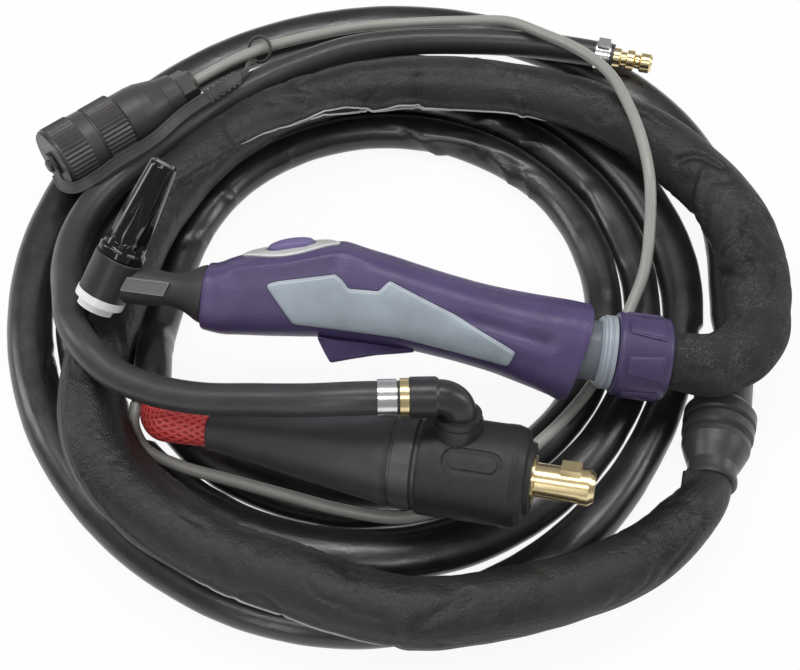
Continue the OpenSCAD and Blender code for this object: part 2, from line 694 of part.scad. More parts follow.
module button_bezel() {
    color("#c8cac6") torch() difference() {
        intersection() {
            skin(BEZEL_STATIONS, -bezel_proud, bezel_t, 30, 150);
            translate([bezel_x, top_at(bezel_x) + 8, 0]) rotate([90, 0, 0])
                linear_extrude(20) bezel_outline(0);
        }
        translate([bezel_x, top_at(bezel_x), 0]) rotate([0, 0, button_slope])
            rotate([90, 0, 0]) translate([0, 0, -10]) linear_extrude(20)
            pill(button_len + 2 * button_gap, button_w + 2 * button_gap);
    }
}

// ---- Trigger ----

stem_top = -4.5;
switch_top = stem_top - 1.2 - button_travel;

module trigger_button() {
    crown_r = 30;
    color("#6f6494") button_axis() {
        intersection() {
            translate([0, 0, stem_top]) linear_extrude(20) pill(button_len, button_w);
            translate([0, 0, button_proud - crown_r]) rotate([90, 0, 0])
                cylinder(h = 40, r = crown_r, center = true, $fn = 128);
        }
        translate([0, 0, switch_top - 1.4]) cylinder(h = stem_top - switch_top + 1.5, d = 3);
    }
}

module trigger_switch() {
    color("#222224") button_axis() translate([0, 0, switch_top - switch_h]) difference() {
        translate([-6.5, -3.2, 0]) cube([13, 6.4, switch_h]);
        translate([0, 0, switch_h - 1.6 - button_travel])
            cylinder(h = switch_h, d = 3 + 2 * button_gap);
    }
}

module power_tube() {
    from = neck_len + spigot_len;
    color("#b87333") torch() {
        sleeve_ring(from, tube_len - spigot_len - 14, tube_d, tube_d - 2);
        sleeve_ring(neck_len + tube_len - 14, 14, tube_d + 3, tube_d - 2);
    }
}

module handle_screws() {
    color("#3a3a3a") torch() for (p = SCREWS) translate([p.x, p.y, -screw_len / 2]) {
        cylinder(h = screw_len, d = screw_d);
        difference() {
            translate([0, 0, -2]) cylinder(h = 2, d = screw_head_d);
            translate([0, 0, -3]) cylinder(h = 2, d = 2.4, $fn = 6);
        }
    }
}

// ---- Knuckle ----

module knuckle_seat() {
    color("#d9d9d2") knuckle_axis() difference() {
        translate([3.5 - seat_len, 0, 0]) rotate([0, 90, 0])
            cylinder(h = seat_len, d = ball_d + 2 * seat_t);
        sphere(d = ball_d + 2 * ball_gap);
    }
}

module knuckle_ball() {
    color("#70757a") knuckle_axis() rotate([0, 90, 0]) rotate_extrude() difference() {
        union() {
            circle(d = ball_d);
            square([ball_d / 2 - 1.8, ring_at]);
        }
        translate([-50 + core_hose_d / 2 + 0.5, -50]) square([50, 100]);
    }
}

module cover_clamp_ring() {
    r = ring_d / 2;
    x = ring_at;
    end = ring_at + ring_len;
    color("#a9b2b8") knuckle_axis() turned([[core_hose_d / 2 + 0.5, x], [r - 1.6, x],
        [r - 0.6, x + 1], [r - 0.6, x + 1.8], [r, x + 2.2], [r, x + 3.2], [r - 0.6, x + 3.5],
        [r - 0.6, x + 3.9], [r, x + 4.2], [r, end], [nut_thread_d / 2, end],
        [nut_thread_d / 2, end + nut_len - 4], [core_hose_d / 2 + 0.5, end + nut_len - 4]]);
}

// Cover nut with raised pads, each a wedge with its narrow end towards the handle
module cover_nut() {
    from = ring_at + ring_len + 0.4;
    body_d = nut_d - 2 * pad_h;
    bore = nut_thread_d + 2 * thread_gap;
    color("#564a78") knuckle_axis() {
        turned([[bore / 2, from], [body_d / 2 - 1, from], [body_d / 2, from + 1],
            [body_d / 2, from + nut_len - 2], [body_d / 2 - 2, from + nut_len],
            [bore / 2 - 1.6, from + nut_len], [bore / 2 - 1.6, from + nut_len - 3],
            [bore / 2, from + nut_len - 3]]);
        for (i = [0:pads - 1]) rotate([360 / pads * i, 0, 0]) intersection() {
            translate([from + nut_len / 2, 0, 0]) linear_extrude(nut_d)
                polygon([[-nut_len * 0.34, -3.6], [nut_len * 0.36, -5.4],
                [nut_len * 0.36, 5.4], [-nut_len * 0.34, 3.6]]);
            sleeve_ring(from, nut_len, nut_d, body_d - 1);
        }
    }
}

module core_hose() {
    color("#2a2a2c") knuckle_axis()
        sleeve_ring(-8, ring_at + ring_len + nut_len + 3, core_hose_d, core_hose_d - 4);
}

// ---- Leads ----

module leather_cover() {
    color("#3a3a3c") on_coil() tube(COVER_ROUTE,
        [for (i = [0:len(COVER_ROUTE) - 1]) cover_r(i)], cord_sides);
}

// Moulded joint: lip, bulb, two rings and a cone towards the sleeve
module cover_joint() {
    r = joint_d / 2;
    cone = joint_len - 35;
    color("#2a2a2c") on_coil() translate(joint_at) rotate(joint_turn)
        turned([[0, 0], [r - 4.6, 0], [r - 4, 0.8], [r - 4, 2.6], [r - 4.8, 3.2],
        [r - 4.4, 7], [r - 2.4, 12], [r - 1, 16], [r - 0.9, 18.5], [r - 1.8, 20.5],
        [r - 0.3, 21.5], [r - 0.2, 25], [r - 1.6, 26], [r, 27.2], [r, 31.6],
        [r - 1.6, 33], [r - 2.4, 35], [r - 3.2, 35 + cone * 0.4],
        [sleeve_d / 2 + 1.4, joint_len - 3], [sleeve_d / 2 + 1.2, joint_len],
        [0, joint_len]]);
}

module lead_sleeve() {
    n = len(SLEEVE_ROUTE);
    color("#232325") on_coil() tube(SLEEVE_ROUTE,
        [for (i = [0:n - 1]) sleeve_d / 2 + (i == n - 1 ? 1 : 0)], 6, floor_z);
}

module power_cable() {
    color("#b3262c") on_coil() tube(BRAID_ROUTE, [for (p = BRAID_ROUTE) braid_d / 2],
        cord_sides);
}

module control_cable() {
    color("#a9a8a2") on_coil() tube(CABLE_ROUTE, [for (p = CABLE_ROUTE) cable_d / 2],
        cord_sides);
}

module gas_hose() {
    color("#242426") on_coil() tube(HOSE_ROUTE, [for (p = HOSE_ROUTE) hose_d / 2],
        cord_sides);
}

// ---- Power connector ----

collar_gap = 10;
body_from = -12;
body_to = body_from + conn_len;
shank_d = pin_d - 1;
pin_flange = 2.4;
pin_relief = 0.4;
pin_chamfer = 2;

module cable_boot() {
    r0 = braid_d / 2 + 1.2;
    r1 = boot_d / 2;
    from = body_from - collar_gap - boot_len;
    color("#2c2c2e") connector() turned([[0, from], [r0 - 0.6, from], [r0, from + 0.8],
        for (u = [0.15:0.15:0.9]) [r0 + (r1 - r0) * (0.8 * u + 0.2 * ease(u)),
        from + boot_len * u], [r1, from + boot_len - 2], [r1 - 0.8, from + boot_len],
        [0, from + boot_len]]);
}

module connector_collar() {
    r = conn_d / 2 - 1;
    color("#262628") connector() turned([[0, body_from - collar_gap],
        [r - 1.4, body_from - collar_gap], [r - 1.4, body_from - collar_gap + 1],
        [r, body_from - collar_gap + 1.4], [r, body_from - 2], [r - 0.9, body_from - 1.2],
        [r - 0.9, body_from], [0, body_from]]);
}

GRIP_ANGLES = [42, 138, 222, 318];

module connector_body() {
    r = conn_d / 2;
    color("#2c2c2e") connector() difference() {
        turned([[0, body_from], [r - 0.4, body_from], [r, body_from + 1], [r, body_to - 5],
            for (a = [30:30:60]) [r - 5 + 5 * cos(a), body_to - 5 + 5 * sin(a)],
            [r - 5, body_to], [shank_d / 2, body_to], [shank_d / 2, 0], [0, 0]]);
        for (a = GRIP_ANGLES) rotate([a, 0, 0]) translate([7, 0, r - grip_depth])
            linear_extrude(10) pill(grip_len, grip_w);
    }
}

module grip_pads() {
    $fn = 160;
    color("#39393b") connector() for (a = GRIP_ANGLES) rotate([a, 0, 0]) intersection() {
        translate([7, 0, conn_d / 2 - grip_depth]) linear_extrude(10)
            pill(grip_len - 4.4, grip_w - 4.4);
        sleeve_ring(body_from, conn_len, conn_d - 0.4, conn_d / 2);
    }
}

module connector_lip() {
    color("#1f1f21") connector() turned([[pin_d / 2 + 2, body_to],
        [conn_d / 2 - 5, body_to], [conn_d / 2 - 5.4, body_to + 1.6],
        [pin_d / 2 + 2, body_to + 1.6]]);
}

// Contact pin with its shank, flange, key and chamfered nose, which guides it
module power_pin() {
    r = pin_d / 2;
    nose = body_to + pin_len;
    key_end = body_to + pin_len * 0.78;
    key_len = pin_len * 0.3;
    color("#d3b25a") connector() {
        turned([[0, 0], [shank_d / 2, 0], [shank_d / 2, body_to], [r + 2, body_to],
            [r + 2, body_to + pin_flange], [r - pin_relief, body_to + pin_flange],
            [r - pin_relief, key_end], [r, key_end], [r, nose - pin_chamfer],
            [r - pin_chamfer * 0.8, nose], [0, nose]]);
        translate([key_end - key_len, -key_w / 2, r - 1]) cube([key_len, key_w, key_h + 1]);
    }
}

// ---- Gas elbow ----

base_top = 21.5;

module elbow_base() {
    color("#262628") connector() difference() {
        cylinder(h = base_top, d = 17);
        rotate([0, 90, 0]) cylinder(h = 60, d = conn_d, center = true);
    }
}

module gas_elbow() {
    color("#1f1f21") connector() {
        translate([0, 0, base_top]) cylinder(h = 2.6, d = 16);
        translate([0, 0, base_top]) cylinder(h = elbow_h - elbow_r - base_top, d = elbow_d);
        rotate([0, 0, 180 + elbow_swing]) translate([elbow_r, 0, elbow_h - elbow_r])
            rotate([90, 0, 180]) rotate_extrude(angle = 90) translate([elbow_r, 0])
            circle(d = elbow_d);
    }
}

module elbow_collar() {
    color("#2c2c2e") elbow_outlet() turned([[0, elbow_r], [elbow_d / 2 + 0.4, elbow_r],
        [collar_d / 2, elbow_r + 1], [collar_d / 2, elbow_r + collar_len - 0.6],
        [collar_d / 2 - 0.6, elbow_r + collar_len], [0, elbow_r + collar_len]]);
}

module hose_tail_ring() {
    from = elbow_r + collar_len;
    color("#c9a24a") elbow_outlet() turned([[0, from], [collar_d / 2 - 0.4, from],
        [collar_d / 2 - 0.4, from + tail_ring_len], [0, from + tail_ring_len]]);
}

module elbow_clamp() {
    color("#c4c6c8") elbow_outlet() rotate([150, 0, 0])
        ear_clamp(elbow_r + collar_len + tail_ring_len + 1, hose_d);
}

// ---- Gas plug ----

module gas_plug() {
    r = gas_plug_d / 2;
    end = gas_plug_len;
    color("#c9a24a") gas_plug_axis() difference() {
        turned([[0, 0], [r, 0], [r, 3], [r - 1.2, 3.6], [r - 1.2, 5.4], [r, 6], [r, end - 8],
            [r - 1.5, end - 7.2], [r - 1.5, end - 5.6], [r - 0.3, end - 4.8],
            [r - 0.3, end - 1], [r - 1.2, end], [0, end]]);
        translate([end - 9, 0, 0]) rotate([0, 90, 0]) cylinder(h = 10, d = 3.4);
    }
}

module plug_clamp() {
    color("#c4c6c8") gas_plug_axis() ear_clamp(-clamp_w - 1.5, hose_d);
}

// ---- Control plug ----

coupling_from = dust_cap_len + 0.3;
coupling_to = coupling_from + coupling_len;
barrel_from = 6;

module control_plug_body() {
    r = coupling_d / 2 - 1.5;
    rt = plug_tail_d / 2;
    end = coupling_to + plug_len;
    color("#3a3837") control_plug() turned([[0, coupling_from + 1], [barrel_d / 2 - 1.5,
        coupling_from + 1], [barrel_d / 2 - 1.5, barrel_from], [barrel_d / 2 - 0.1,
        barrel_from], [barrel_d / 2 - 0.1, coupling_to + 0.2], [r - 0.6, coupling_to + 0.2],
        [r, coupling_to + 1], [r, coupling_to + plug_len * 0.3],
        [r - 0.4, coupling_to + plug_len * 0.45], [rt + 1.6, end - plug_len * 0.3],
        [rt + 0.9, end - plug_len * 0.28], [rt, end - 1], [rt - 1, end], [0, end]]);
}

module plug_insert() {
    color("#1f1f21") control_plug() turned([[0, barrel_from + 5],
        [barrel_d / 2 - 1.55, barrel_from + 5], [barrel_d / 2 - 1.55, coupling_from + 1],
        [0, coupling_from + 1]]);
}

module plug_pins() {
    color("#c9a24a") control_plug() for (i = [0:contacts - 1])
        rotate([360 / contacts * i, 0, 0]) translate([barrel_from + 0.6, 0, 5.4])
            rotate([0, 90, 0]) cylinder(h = 4.4, d = 1.6, $fn = 16);
}

module coupling_ring() {
    color("#333130") control_plug() {
        knurled(coupling_from + 1, coupling_len - 1, coupling_d, barrel_d);
        sleeve_ring(coupling_from, 1, coupling_d - 1.4, barrel_d);
    }
}

module gland_nut() {
    from = coupling_to + plug_len;
    color("#333130") control_plug() difference() {
        union() {
            translate([from, 0, 0]) rotate([0, 90, 0])
                cylinder(h = gland_len - 2, d = gland_af / cos(30), $fn = 6);
            translate([from, 0, 0]) rotate([0, 90, 0])
                cylinder(h = gland_len, d = gland_af - 1.6);
        }
        translate([from + 1.8, 0, 0]) rotate([0, 90, 0])
            cylinder(h = gland_len, d = cable_d + 1.2);
    }
}

module dust_cap() {
    floor_t = 2;
    color("#3a3837") control_plug() {
        sleeve_ring(0, 1, dust_cap_d - 2, rivet_d - 2);
        sleeve_ring(1, floor_t - 1, dust_cap_d - 0.6, rivet_d - 2);
        knurled(floor_t, dust_knurl_len - floor_t, dust_cap_d, barrel_d);
        sleeve_ring(dust_knurl_len, dust_cap_len - dust_knurl_len, dust_cap_d - 1.2, barrel_d);
    }
}

module dust_cap_rivet() {
    color("#4a4846") control_plug() turned([[0, -3.4], [rivet_d / 2 - 0.8, -3.4],
        [rivet_d / 2, -2.8], [rivet_d / 2, -2], [rivet_d / 2 - 1, -2],
        [rivet_d / 2 - 1, 2.6], [0, 2.6]]);
}

// Strap with a ring round the rivet, a toothed end and the ring for the cable
module dust_cap_strap() {
    n = len(STRAP_ROUTE);
    teeth = 5;
    ring_d = 12.4;
    wire_d = 1.4;
    color("#3a3837") {
        control_plug() rotate([0, 90, 0]) translate([0, 0, -1.9])
            linear_extrude(strap_t + 0.2, $fn = 32) difference() {
                union() {
                    circle(d = rivet_d + 5);
                    translate([0, -strap_w / 2]) square([1, strap_w]);
                }
                circle(d = rivet_d - 1.6);
            }
        on_coil() {
            for (i = [0:n - 2]) hull() {
                strap_piece(i);
                strap_piece(i + 1);
            }
            for (k = [0:teeth - 1]) translate(STRAP_ROUTE[n - 4]
                + (STRAP_ROUTE[n - 3] - STRAP_ROUTE[n - 4]) * k / teeth)
                rotate([0, 0, 45]) cube([1, strap_w + 1.4, strap_t + 0.8], center = true);
            translate(strap_ring_at) rotate([0, 51.5, -123.7]) rotate_extrude($fn = 32)
                translate([(ring_d - wire_d) / 2, 0]) circle(d = wire_d, $fn = 8);
        }
    }
}
module strap_piece(i) {
    n = len(STRAP_ROUTE);
    t = tangent(STRAP_ROUTE, i);
    translate(STRAP_ROUTE[i]) rotate([0, 0, atan2(t.y, t.x)]) rotate([50, 0, 0])
        cube([0.8, i > n - 3 ? 1.8 : strap_w, strap_t], center = true);
}

head_body();
head_core();
front_insulator();
back_cap();
back_cap_seal();
neck();
neck_tube();
neck_plate();
handle_shell_left();
handle_shell_right();
side_inlay_left();
side_inlay_right();
button_bezel();
trigger_button();
trigger_switch();
power_tube();
handle_screws();
knuckle_seat();
knuckle_ball();
cover_clamp_ring();
cover_nut();
core_hose();
leather_cover();
cover_joint();
lead_sleeve();
power_cable();
control_cable();
gas_hose();
cable_boot();
connector_collar();
connector_body();
connector_lip();
power_pin();
grip_pads();
elbow_base();
gas_elbow();
elbow_collar();
hose_tail_ring();
elbow_clamp();
gas_plug();
plug_clamp();
control_plug_body();
plug_insert();
plug_pins();
coupling_ring();
gland_nut();
dust_cap();
dust_cap_rivet();
dust_cap_strap();
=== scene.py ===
import math

import bpy
import bmesh
import numpy as np
from mathutils import Euler, Matrix, Vector, noise
from mathutils.geometry import delaunay_2d_cdt


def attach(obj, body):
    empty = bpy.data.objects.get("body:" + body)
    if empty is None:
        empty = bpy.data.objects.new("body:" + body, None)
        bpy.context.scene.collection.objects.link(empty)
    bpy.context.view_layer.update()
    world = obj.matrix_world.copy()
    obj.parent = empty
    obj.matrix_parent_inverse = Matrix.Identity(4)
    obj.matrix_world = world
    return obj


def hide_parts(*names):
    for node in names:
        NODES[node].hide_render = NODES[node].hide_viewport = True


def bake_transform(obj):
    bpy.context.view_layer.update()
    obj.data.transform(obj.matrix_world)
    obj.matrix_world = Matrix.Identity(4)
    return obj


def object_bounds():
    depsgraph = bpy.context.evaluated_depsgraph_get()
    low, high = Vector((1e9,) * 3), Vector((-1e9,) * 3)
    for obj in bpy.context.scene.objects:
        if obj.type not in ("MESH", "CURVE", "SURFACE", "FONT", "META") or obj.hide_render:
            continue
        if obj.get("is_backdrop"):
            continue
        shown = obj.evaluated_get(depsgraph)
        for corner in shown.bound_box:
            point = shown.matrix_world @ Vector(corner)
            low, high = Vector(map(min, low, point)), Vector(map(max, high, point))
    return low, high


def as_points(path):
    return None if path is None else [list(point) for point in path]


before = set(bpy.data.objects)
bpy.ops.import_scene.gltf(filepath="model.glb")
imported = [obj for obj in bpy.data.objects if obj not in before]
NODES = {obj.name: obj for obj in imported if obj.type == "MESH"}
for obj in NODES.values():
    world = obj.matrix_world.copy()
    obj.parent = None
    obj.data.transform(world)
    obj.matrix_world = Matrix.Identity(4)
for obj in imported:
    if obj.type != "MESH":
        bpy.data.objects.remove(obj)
cad_low, cad_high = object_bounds()
MM = 0.001

# ---- Places, as in the part's source: millimetres from the coil's middle, at its foot ----

HEAD_AT = Vector((-105, -31, 54))
SLEEVE_D, LEATHER_D, HOSE_D, CABLE_D, BRAID_D = 14.4, 24.8, 11.5, 4.6, 11.5
BRAID_PITCH, BRAID_STRANDS = 4.4, 14
# The sleeve lies flattened on the floor, which is this far above its round underside
FLOOR_Z = SLEEVE_D / 10


def turned(roll, pitch, yaw):
    return Euler([math.radians(a) for a in (roll, pitch, yaw)], "XYZ").to_matrix().to_4x4()


def placed(at, turning=Matrix.Identity(4)):
    """From a piece's own millimetres to the part's frame in metres."""
    return Matrix.Scale(MM, 4) @ Matrix.Translation(Vector(at) - HEAD_AT) @ turning


COIL_FRAME = placed((0, 0, 0))
TORCH = placed(HEAD_AT, turned(48, 4.8, -6))
HEAD_AXIS = TORCH @ turned(0, 0, 70)
PLUG = placed((-140, 45.5, 29), turned(0, 0, 40))


def in_metres(p):
    """From the coil's millimetres to the part's frame in metres."""
    return COIL_FRAME @ Vector(p)


def added(name, data):
    o = bpy.data.objects.new(name, data)
    bpy.context.scene.collection.objects.link(o)
    return o


# ---- Camera and light ----

# Degrees that the camera looks down from level
VIEW_DOWN = 57
camera = added("camera", bpy.data.cameras.new("camera"))
camera.location = in_metres((2, -325.1, 470.9))
camera.rotation_euler = (math.radians(90 - VIEW_DOWN), 0, 0)
camera.data.lens = 63
camera.data.sensor_width = 36
camera.data.shift_x = -0.0025
camera.data.clip_start = 0.01
camera.data.clip_end = 20
bpy.context.scene.camera = camera
bpy.context.scene.view_settings.view_transform = "Standard"


def lamp(name, at, aim, size, watts):
    """A softbox, in metres of the part's frame, that faces its aim."""
    data = bpy.data.lights.new(name, "AREA")
    data.shape = "RECTANGLE"
    data.size, data.size_y = size
    data.energy = watts
    o = added(name, data)
    o.location = at
    o.rotation_euler = (Vector(aim) - Vector(at)).to_track_quat("-Z", "Y").to_euler()


lamp("softbox_top", (0.05, 0.3, 1.15), (0.08, 0, 0), (1.2, 0.26), 7.5)
lamp("softbox_near", (-0.1, -0.62, 1.15), (0.05, -0.05, 0), (0.9, 0.14), 3)
lamp("softbox_front", (-0.42, -1.2, 0.6), (0, 0, 0), (0.16, 0.7), 2)
lamp("softbox_left", (-1.1, 0.3, 0.6), (0, 0, 0), (0.3, 0.8), 4)
lamp("softbox_right", (1.25, 0.1, 0.6), (0.1, 0, 0), (0.3, 0.8), 4)

world = bpy.data.worlds.new("studio")
bpy.context.scene.world = world
world.use_nodes = True
daylight = world.node_tree.nodes["Background"].inputs
daylight["Color"].default_value = (0.86, 0.87, 0.89, 1)
daylight["Strength"].default_value = 0.34


# ---- Materials ----

class Look:
    """A node material over the piece's own place in metres."""

    def __init__(self, name, **sockets):
        self.mat = bpy.data.materials.new(name)
        self.mat.use_nodes = True
        self.tree = self.mat.node_tree
        self.shader = self.tree.nodes["Principled BSDF"]
        self.place = self.tree.nodes.new("ShaderNodeTexCoord").outputs["Object"]
        for key, value in sockets.items():
            self.shader.inputs[key.replace("_", " ")].default_value = value

    def node(self, kind, inputs=(), **settings):
        n = self.tree.nodes.new("ShaderNode" + kind)
        for key, value in settings.items():
            setattr(n, key, value)
        for key, value in dict(inputs).items():
            if isinstance(value, bpy.types.NodeSocket):
                self.tree.links.new(value, n.inputs[key])
            else:
                n.inputs[key].default_value = value
        return n

    def uv(self, along=1.0, around=1.0):
        uv = self.node("UVMap", uv_map="route").outputs[0]
        return self.node("Mapping", {0: uv, "Scale": (around, along, 1)}).outputs[0]

    def noise(self, scale, detail=3, roughness=0.55, where=None, distortion=0):
        return self.node("TexNoise", {"Vector": where or self.place, "Scale": scale,
                                      "Detail": detail, "Roughness": roughness,
                                      "Distortion": distortion}).outputs["Fac"]

    def cells(self, scale, feature="F1"):
        return self.node("TexVoronoi", {"Vector": self.place, "Scale": scale},
                         feature=feature).outputs["Distance"]

    def span(self, value, low, high, to_low=0.0, to_high=1.0):
        return self.node("MapRange", {0: value, 1: low, 2: high, 3: to_low, 4: to_high}).outputs[0]

    def maths(self, operation, a, b=0.0):
        return self.node("Math", {0: a, 1: b}, operation=operation).outputs[0]

    def times(self, product, *factors):
        for factor in factors:
            product = self.maths("MULTIPLY", product, factor)
        return product

    def colour(self, factor, a, b):
        a, b = ((*c, 1) if isinstance(c, tuple) else c for c in (a, b))
        return self.node("Mix", {0: factor, 6: a, 7: b}, data_type="RGBA").outputs[2]

    def paint(self, socket):
        self.tree.links.new(socket, self.shader.inputs["Base Color"])

    def rough(self, socket):
        self.tree.links.new(socket, self.shader.inputs["Roughness"])

    def bump(self, height, strength, distance, under=None):
        n = self.node("Bump", {"Height": height, "Strength": strength, "Distance": distance})
        if under:
            self.tree.links.new(under, n.inputs["Normal"])
        self.tree.links.new(n.outputs[0], self.shader.inputs["Normal"])
        return n.outputs[0]


def moulded(name, colour, rough, grain=2600, depth=0.00004, vary=0.12, dust=0.0):
    """Moulded plastic or rubber: spark-eroded grain, slight patches, dust in specks."""
    look = Look(name)
    dark, light = (tuple(c * share for c in colour) for share in (1 - vary, 1 + vary))
    base = look.colour(look.span(look.noise(70, 4, 0.6), 0.3, 0.7), dark, light)
    if dust:
        specks = look.span(look.cells(900), 0.03, 0.08, 1, 0)
        here = look.span(look.noise(40, 2), 0.5, 0.7)
        base = look.colour(look.times(specks, here, dust), base, tuple(0.35 + c for c in colour))
    look.paint(base)
    look.rough(look.span(look.noise(220, 3), 0.3, 0.7, rough - 0.06, rough + 0.06))
    look.bump(look.noise(grain, 2, 0.6), 0.5, depth)
    return look.mat


def metal(name, colour, rough):
    """Metal with fine marks and slight tarnish."""
    look = Look(name, Metallic=1.0)
    marks = look.noise(900, 2, 0.7)
    stain = look.span(look.noise(120, 3), 0.35, 0.75)
    look.paint(look.colour(look.times(stain, 0.3), colour, tuple(c * 0.55 for c in colour)))
    look.rough(look.span(marks, 0.2, 0.8, rough - 0.03, rough + 0.04))
    look.bump(marks, 0.2, 0.000008)
    return look.mat


LOOKS = {
    "purple": moulded("purple_plastic", (0.08, 0.056, 0.15), 0.4, 1300, 0.00022),
    # A painted shade: the handle's purple darkened for the nut, whose side faces away from the
    # light
    "nut": moulded("nut_purple_painted_shade", (0.062, 0.043, 0.118), 0.4, 1300, 0.00022),
    "purple_button": moulded("button_plastic", (0.16, 0.125, 0.29), 0.42, depth=0.00004),
    "inlay": moulded("inlay_plastic", (0.38, 0.435, 0.49), 0.42, 1600, 0.00012),
    "bezel": moulded("bezel_plastic", (0.5, 0.51, 0.49), 0.4, depth=0.00005),
    "ball": moulded("knuckle_plastic", (0.16, 0.175, 0.2), 0.42, depth=0.00003),
    "ring": moulded("ring_plastic", (0.36, 0.4, 0.45), 0.4, depth=0.00003),
    "head": moulded("head_moulding", (0.024, 0.023, 0.023), 0.4, 1500, 0.00012, dust=0.3),
    "neck": moulded("neck_sleeve", (0.036, 0.034, 0.035), 0.58, 900, 0.00012),
    "gloss": moulded("cap_plastic", (0.004, 0.004, 0.0045), 0.12, 900, 0.000004),
    "white": moulded("insulator_plastic", (0.85, 0.85, 0.84), 0.32, depth=0.00002, vary=0.03),
    "rubber": moulded("satin_rubber", (0.042, 0.042, 0.044), 0.36, 1500, 0.00006, dust=0.3),
    "boot": moulded("boot_rubber", (0.056, 0.056, 0.06), 0.38, 1100, 0.00012, dust=0.5),
    "connector": moulded("connector_rubber", (0.016, 0.0155, 0.015), 0.52, 700, 0.00022, dust=0.6),
    "elbow": moulded("elbow_plastic", (0.026, 0.026, 0.028), 0.33, 1500, 0.00006, dust=0.3),
    "plug": moulded("plug_plastic", (0.06, 0.056, 0.052), 0.42, 1800, 0.00006, dust=0.3),
    "plate": moulded("plate_plastic", (0.14, 0.14, 0.14), 0.5, 1500, 0.00005),
    "seat": moulded("seat_plastic", (0.7, 0.7, 0.66), 0.4, depth=0.00002, vary=0.04),
    "seal": moulded("seal_rubber", (0.02, 0.02, 0.02), 0.5, depth=0.00003),
    "grey_cable": moulded("cable_sheath", (0.34, 0.335, 0.31), 0.36, 1200, 0.00004, vary=0.05),
    # A painted highlight: the plate's grey made lighter, for its rounded edge
    "plate_highlight": moulded("plate_painted_highlight", (0.24, 0.24, 0.24), 0.5, 1500, 0.00003),
    # A painted highlight: the inlay's grey-blue made lighter, for its rounded edges where they
    # catch the light
    "inlay_highlight": moulded("inlay_painted_highlight", (0.5, 0.54, 0.58), 0.38, depth=0.00003),
    # A painted highlight: the bezel's white made lighter, for its rounded top edge
    "bezel_highlight": moulded("bezel_painted_highlight", (0.74, 0.74, 0.75), 0.38, depth=0.00003),
    "edge": moulded("leather_edge", (0.42, 0.41, 0.39), 0.75, 1500, 0.0001, vary=0.3),
    "brass": metal("brass", (0.94, 0.77, 0.43), 0.24),
    "copper": metal("copper", (0.75, 0.4, 0.25), 0.3),
    "steel": metal("clamp_steel", (0.88, 0.88, 0.87), 0.22),
    "dark_steel": metal("screw_steel", (0.08, 0.08, 0.08), 0.4),
}


def leather_look():
    """Split hide: fine pebbled grain and creases, napped with light fibres near the nut."""
    look = Look("suede_leather", Specular_IOR_Level=0.42)
    pebbles = look.cells(1300, feature="SMOOTH_F1")
    fine = look.noise(3200, 2, 0.6)
    creases = look.noise(260, 4, 0.62, distortion=0.8)
    patches = look.span(look.noise(30, 3, 0.6), 0.35, 0.7)
    along = look.node("SeparateXYZ", {0: look.uv()}).outputs[1]
    napped = look.span(look.maths("ADD", along, look.times(patches, 0.03)), 0.09, 0.15, 1, 0)
    base = look.colour(patches, (0.0125, 0.012, 0.0122), (0.027, 0.0262, 0.0266))
    # A painted highlight: light specks on the grain's pebbles, in patches, as where they catch the
    # light
    tips = look.span(pebbles, 0.02, 0.3, 1, 0)
    tip_highlight = look.times(tips, look.span(look.noise(48, 4, 0.7), 0.5, 0.72, 0, 0.6))
    base = look.colour(tip_highlight, base, (0.1, 0.097, 0.097))
    fibres = look.span(look.noise(1500, 3, 0.75, distortion=1.5), 0.52, 0.66)
    lit = look.span(look.noise(70, 4, 0.7), 0.45, 0.62, 0.15, 0.85)
    look.paint(look.colour(look.times(napped, fibres, lit), base, (0.2, 0.195, 0.185)))
    look.rough(look.maths("MAXIMUM", look.span(patches, 0, 1, 0.4, 0.56),
                          look.times(napped, 0.85)))
    under = look.bump(creases, 0.6, 0.0011)
    under = look.bump(fine, 0.3, 0.00008, under)
    look.bump(pebbles, 0.7, 0.00022, under)
    return look.mat


def sleeve_look():
    """Glossy film sleeve: long soft drag marks, handling marks and dust."""
    look = Look("lead_sleeve_rubber", Specular_IOR_Level=0.65, Sheen_Weight=0.2,
                Sheen_Roughness=0.35, Coat_Weight=0.15, Coat_Roughness=0.12)
    drag = look.noise(26, 4, 0.6, look.uv(6))
    base = look.colour(look.span(look.noise(45, 3), 0.3, 0.7), (0.009, 0.009, 0.0092),
                       (0.017, 0.017, 0.0172))
    specks = look.span(look.cells(700), 0.02, 0.07, 1, 0)
    here = look.span(look.noise(33, 2), 0.55, 0.7, 0, 0.4)
    look.paint(look.colour(look.times(specks, here), base, (0.25, 0.25, 0.25)))
    look.rough(look.span(look.noise(90, 4, 0.65), 0.3, 0.7, 0.26, 0.4))
    look.bump(look.noise(1100, 3, 0.6), 0.3, 0.00006, look.bump(drag, 0.25, 0.0005))
    return look.mat


def braid_look():
    """Woven red glass threads: lighter as painted light where a strand crosses over, darker as
    painted shade where it dives under.
    """
    look = Look("glass_braid")
    cell = look.node("SeparateXYZ", {0: look.uv(1 / BRAID_PITCH / MM, BRAID_STRANDS)})
    around, along = cell.outputs[0], cell.outputs[1]
    ways = [look.maths("SINE", look.times(look.maths(kind, around, along), 2 * math.pi))
            for kind in ("ADD", "SUBTRACT")]
    over = look.maths("MAXIMUM", *ways)
    threads = look.noise(2600, 2, 0.6)
    # Painted light and shade: the red is lighter over the crossings and darker where strands dive
    # under
    lit = look.times(look.span(over, -0.5, 0.75), look.span(threads, 0.25, 0.7, 0.5, 1))
    look.paint(look.colour(lit, (0.4, 0.014, 0.018), (0.82, 0.115, 0.105)))
    look.rough(look.span(threads, 0.2, 0.8, 0.3, 0.5))
    look.bump(threads, 0.4, 0.0001)
    return look.mat


LOOKS["leather"] = leather_look()
LOOKS["sleeve"] = sleeve_look()
LOOKS["braid"] = braid_look()


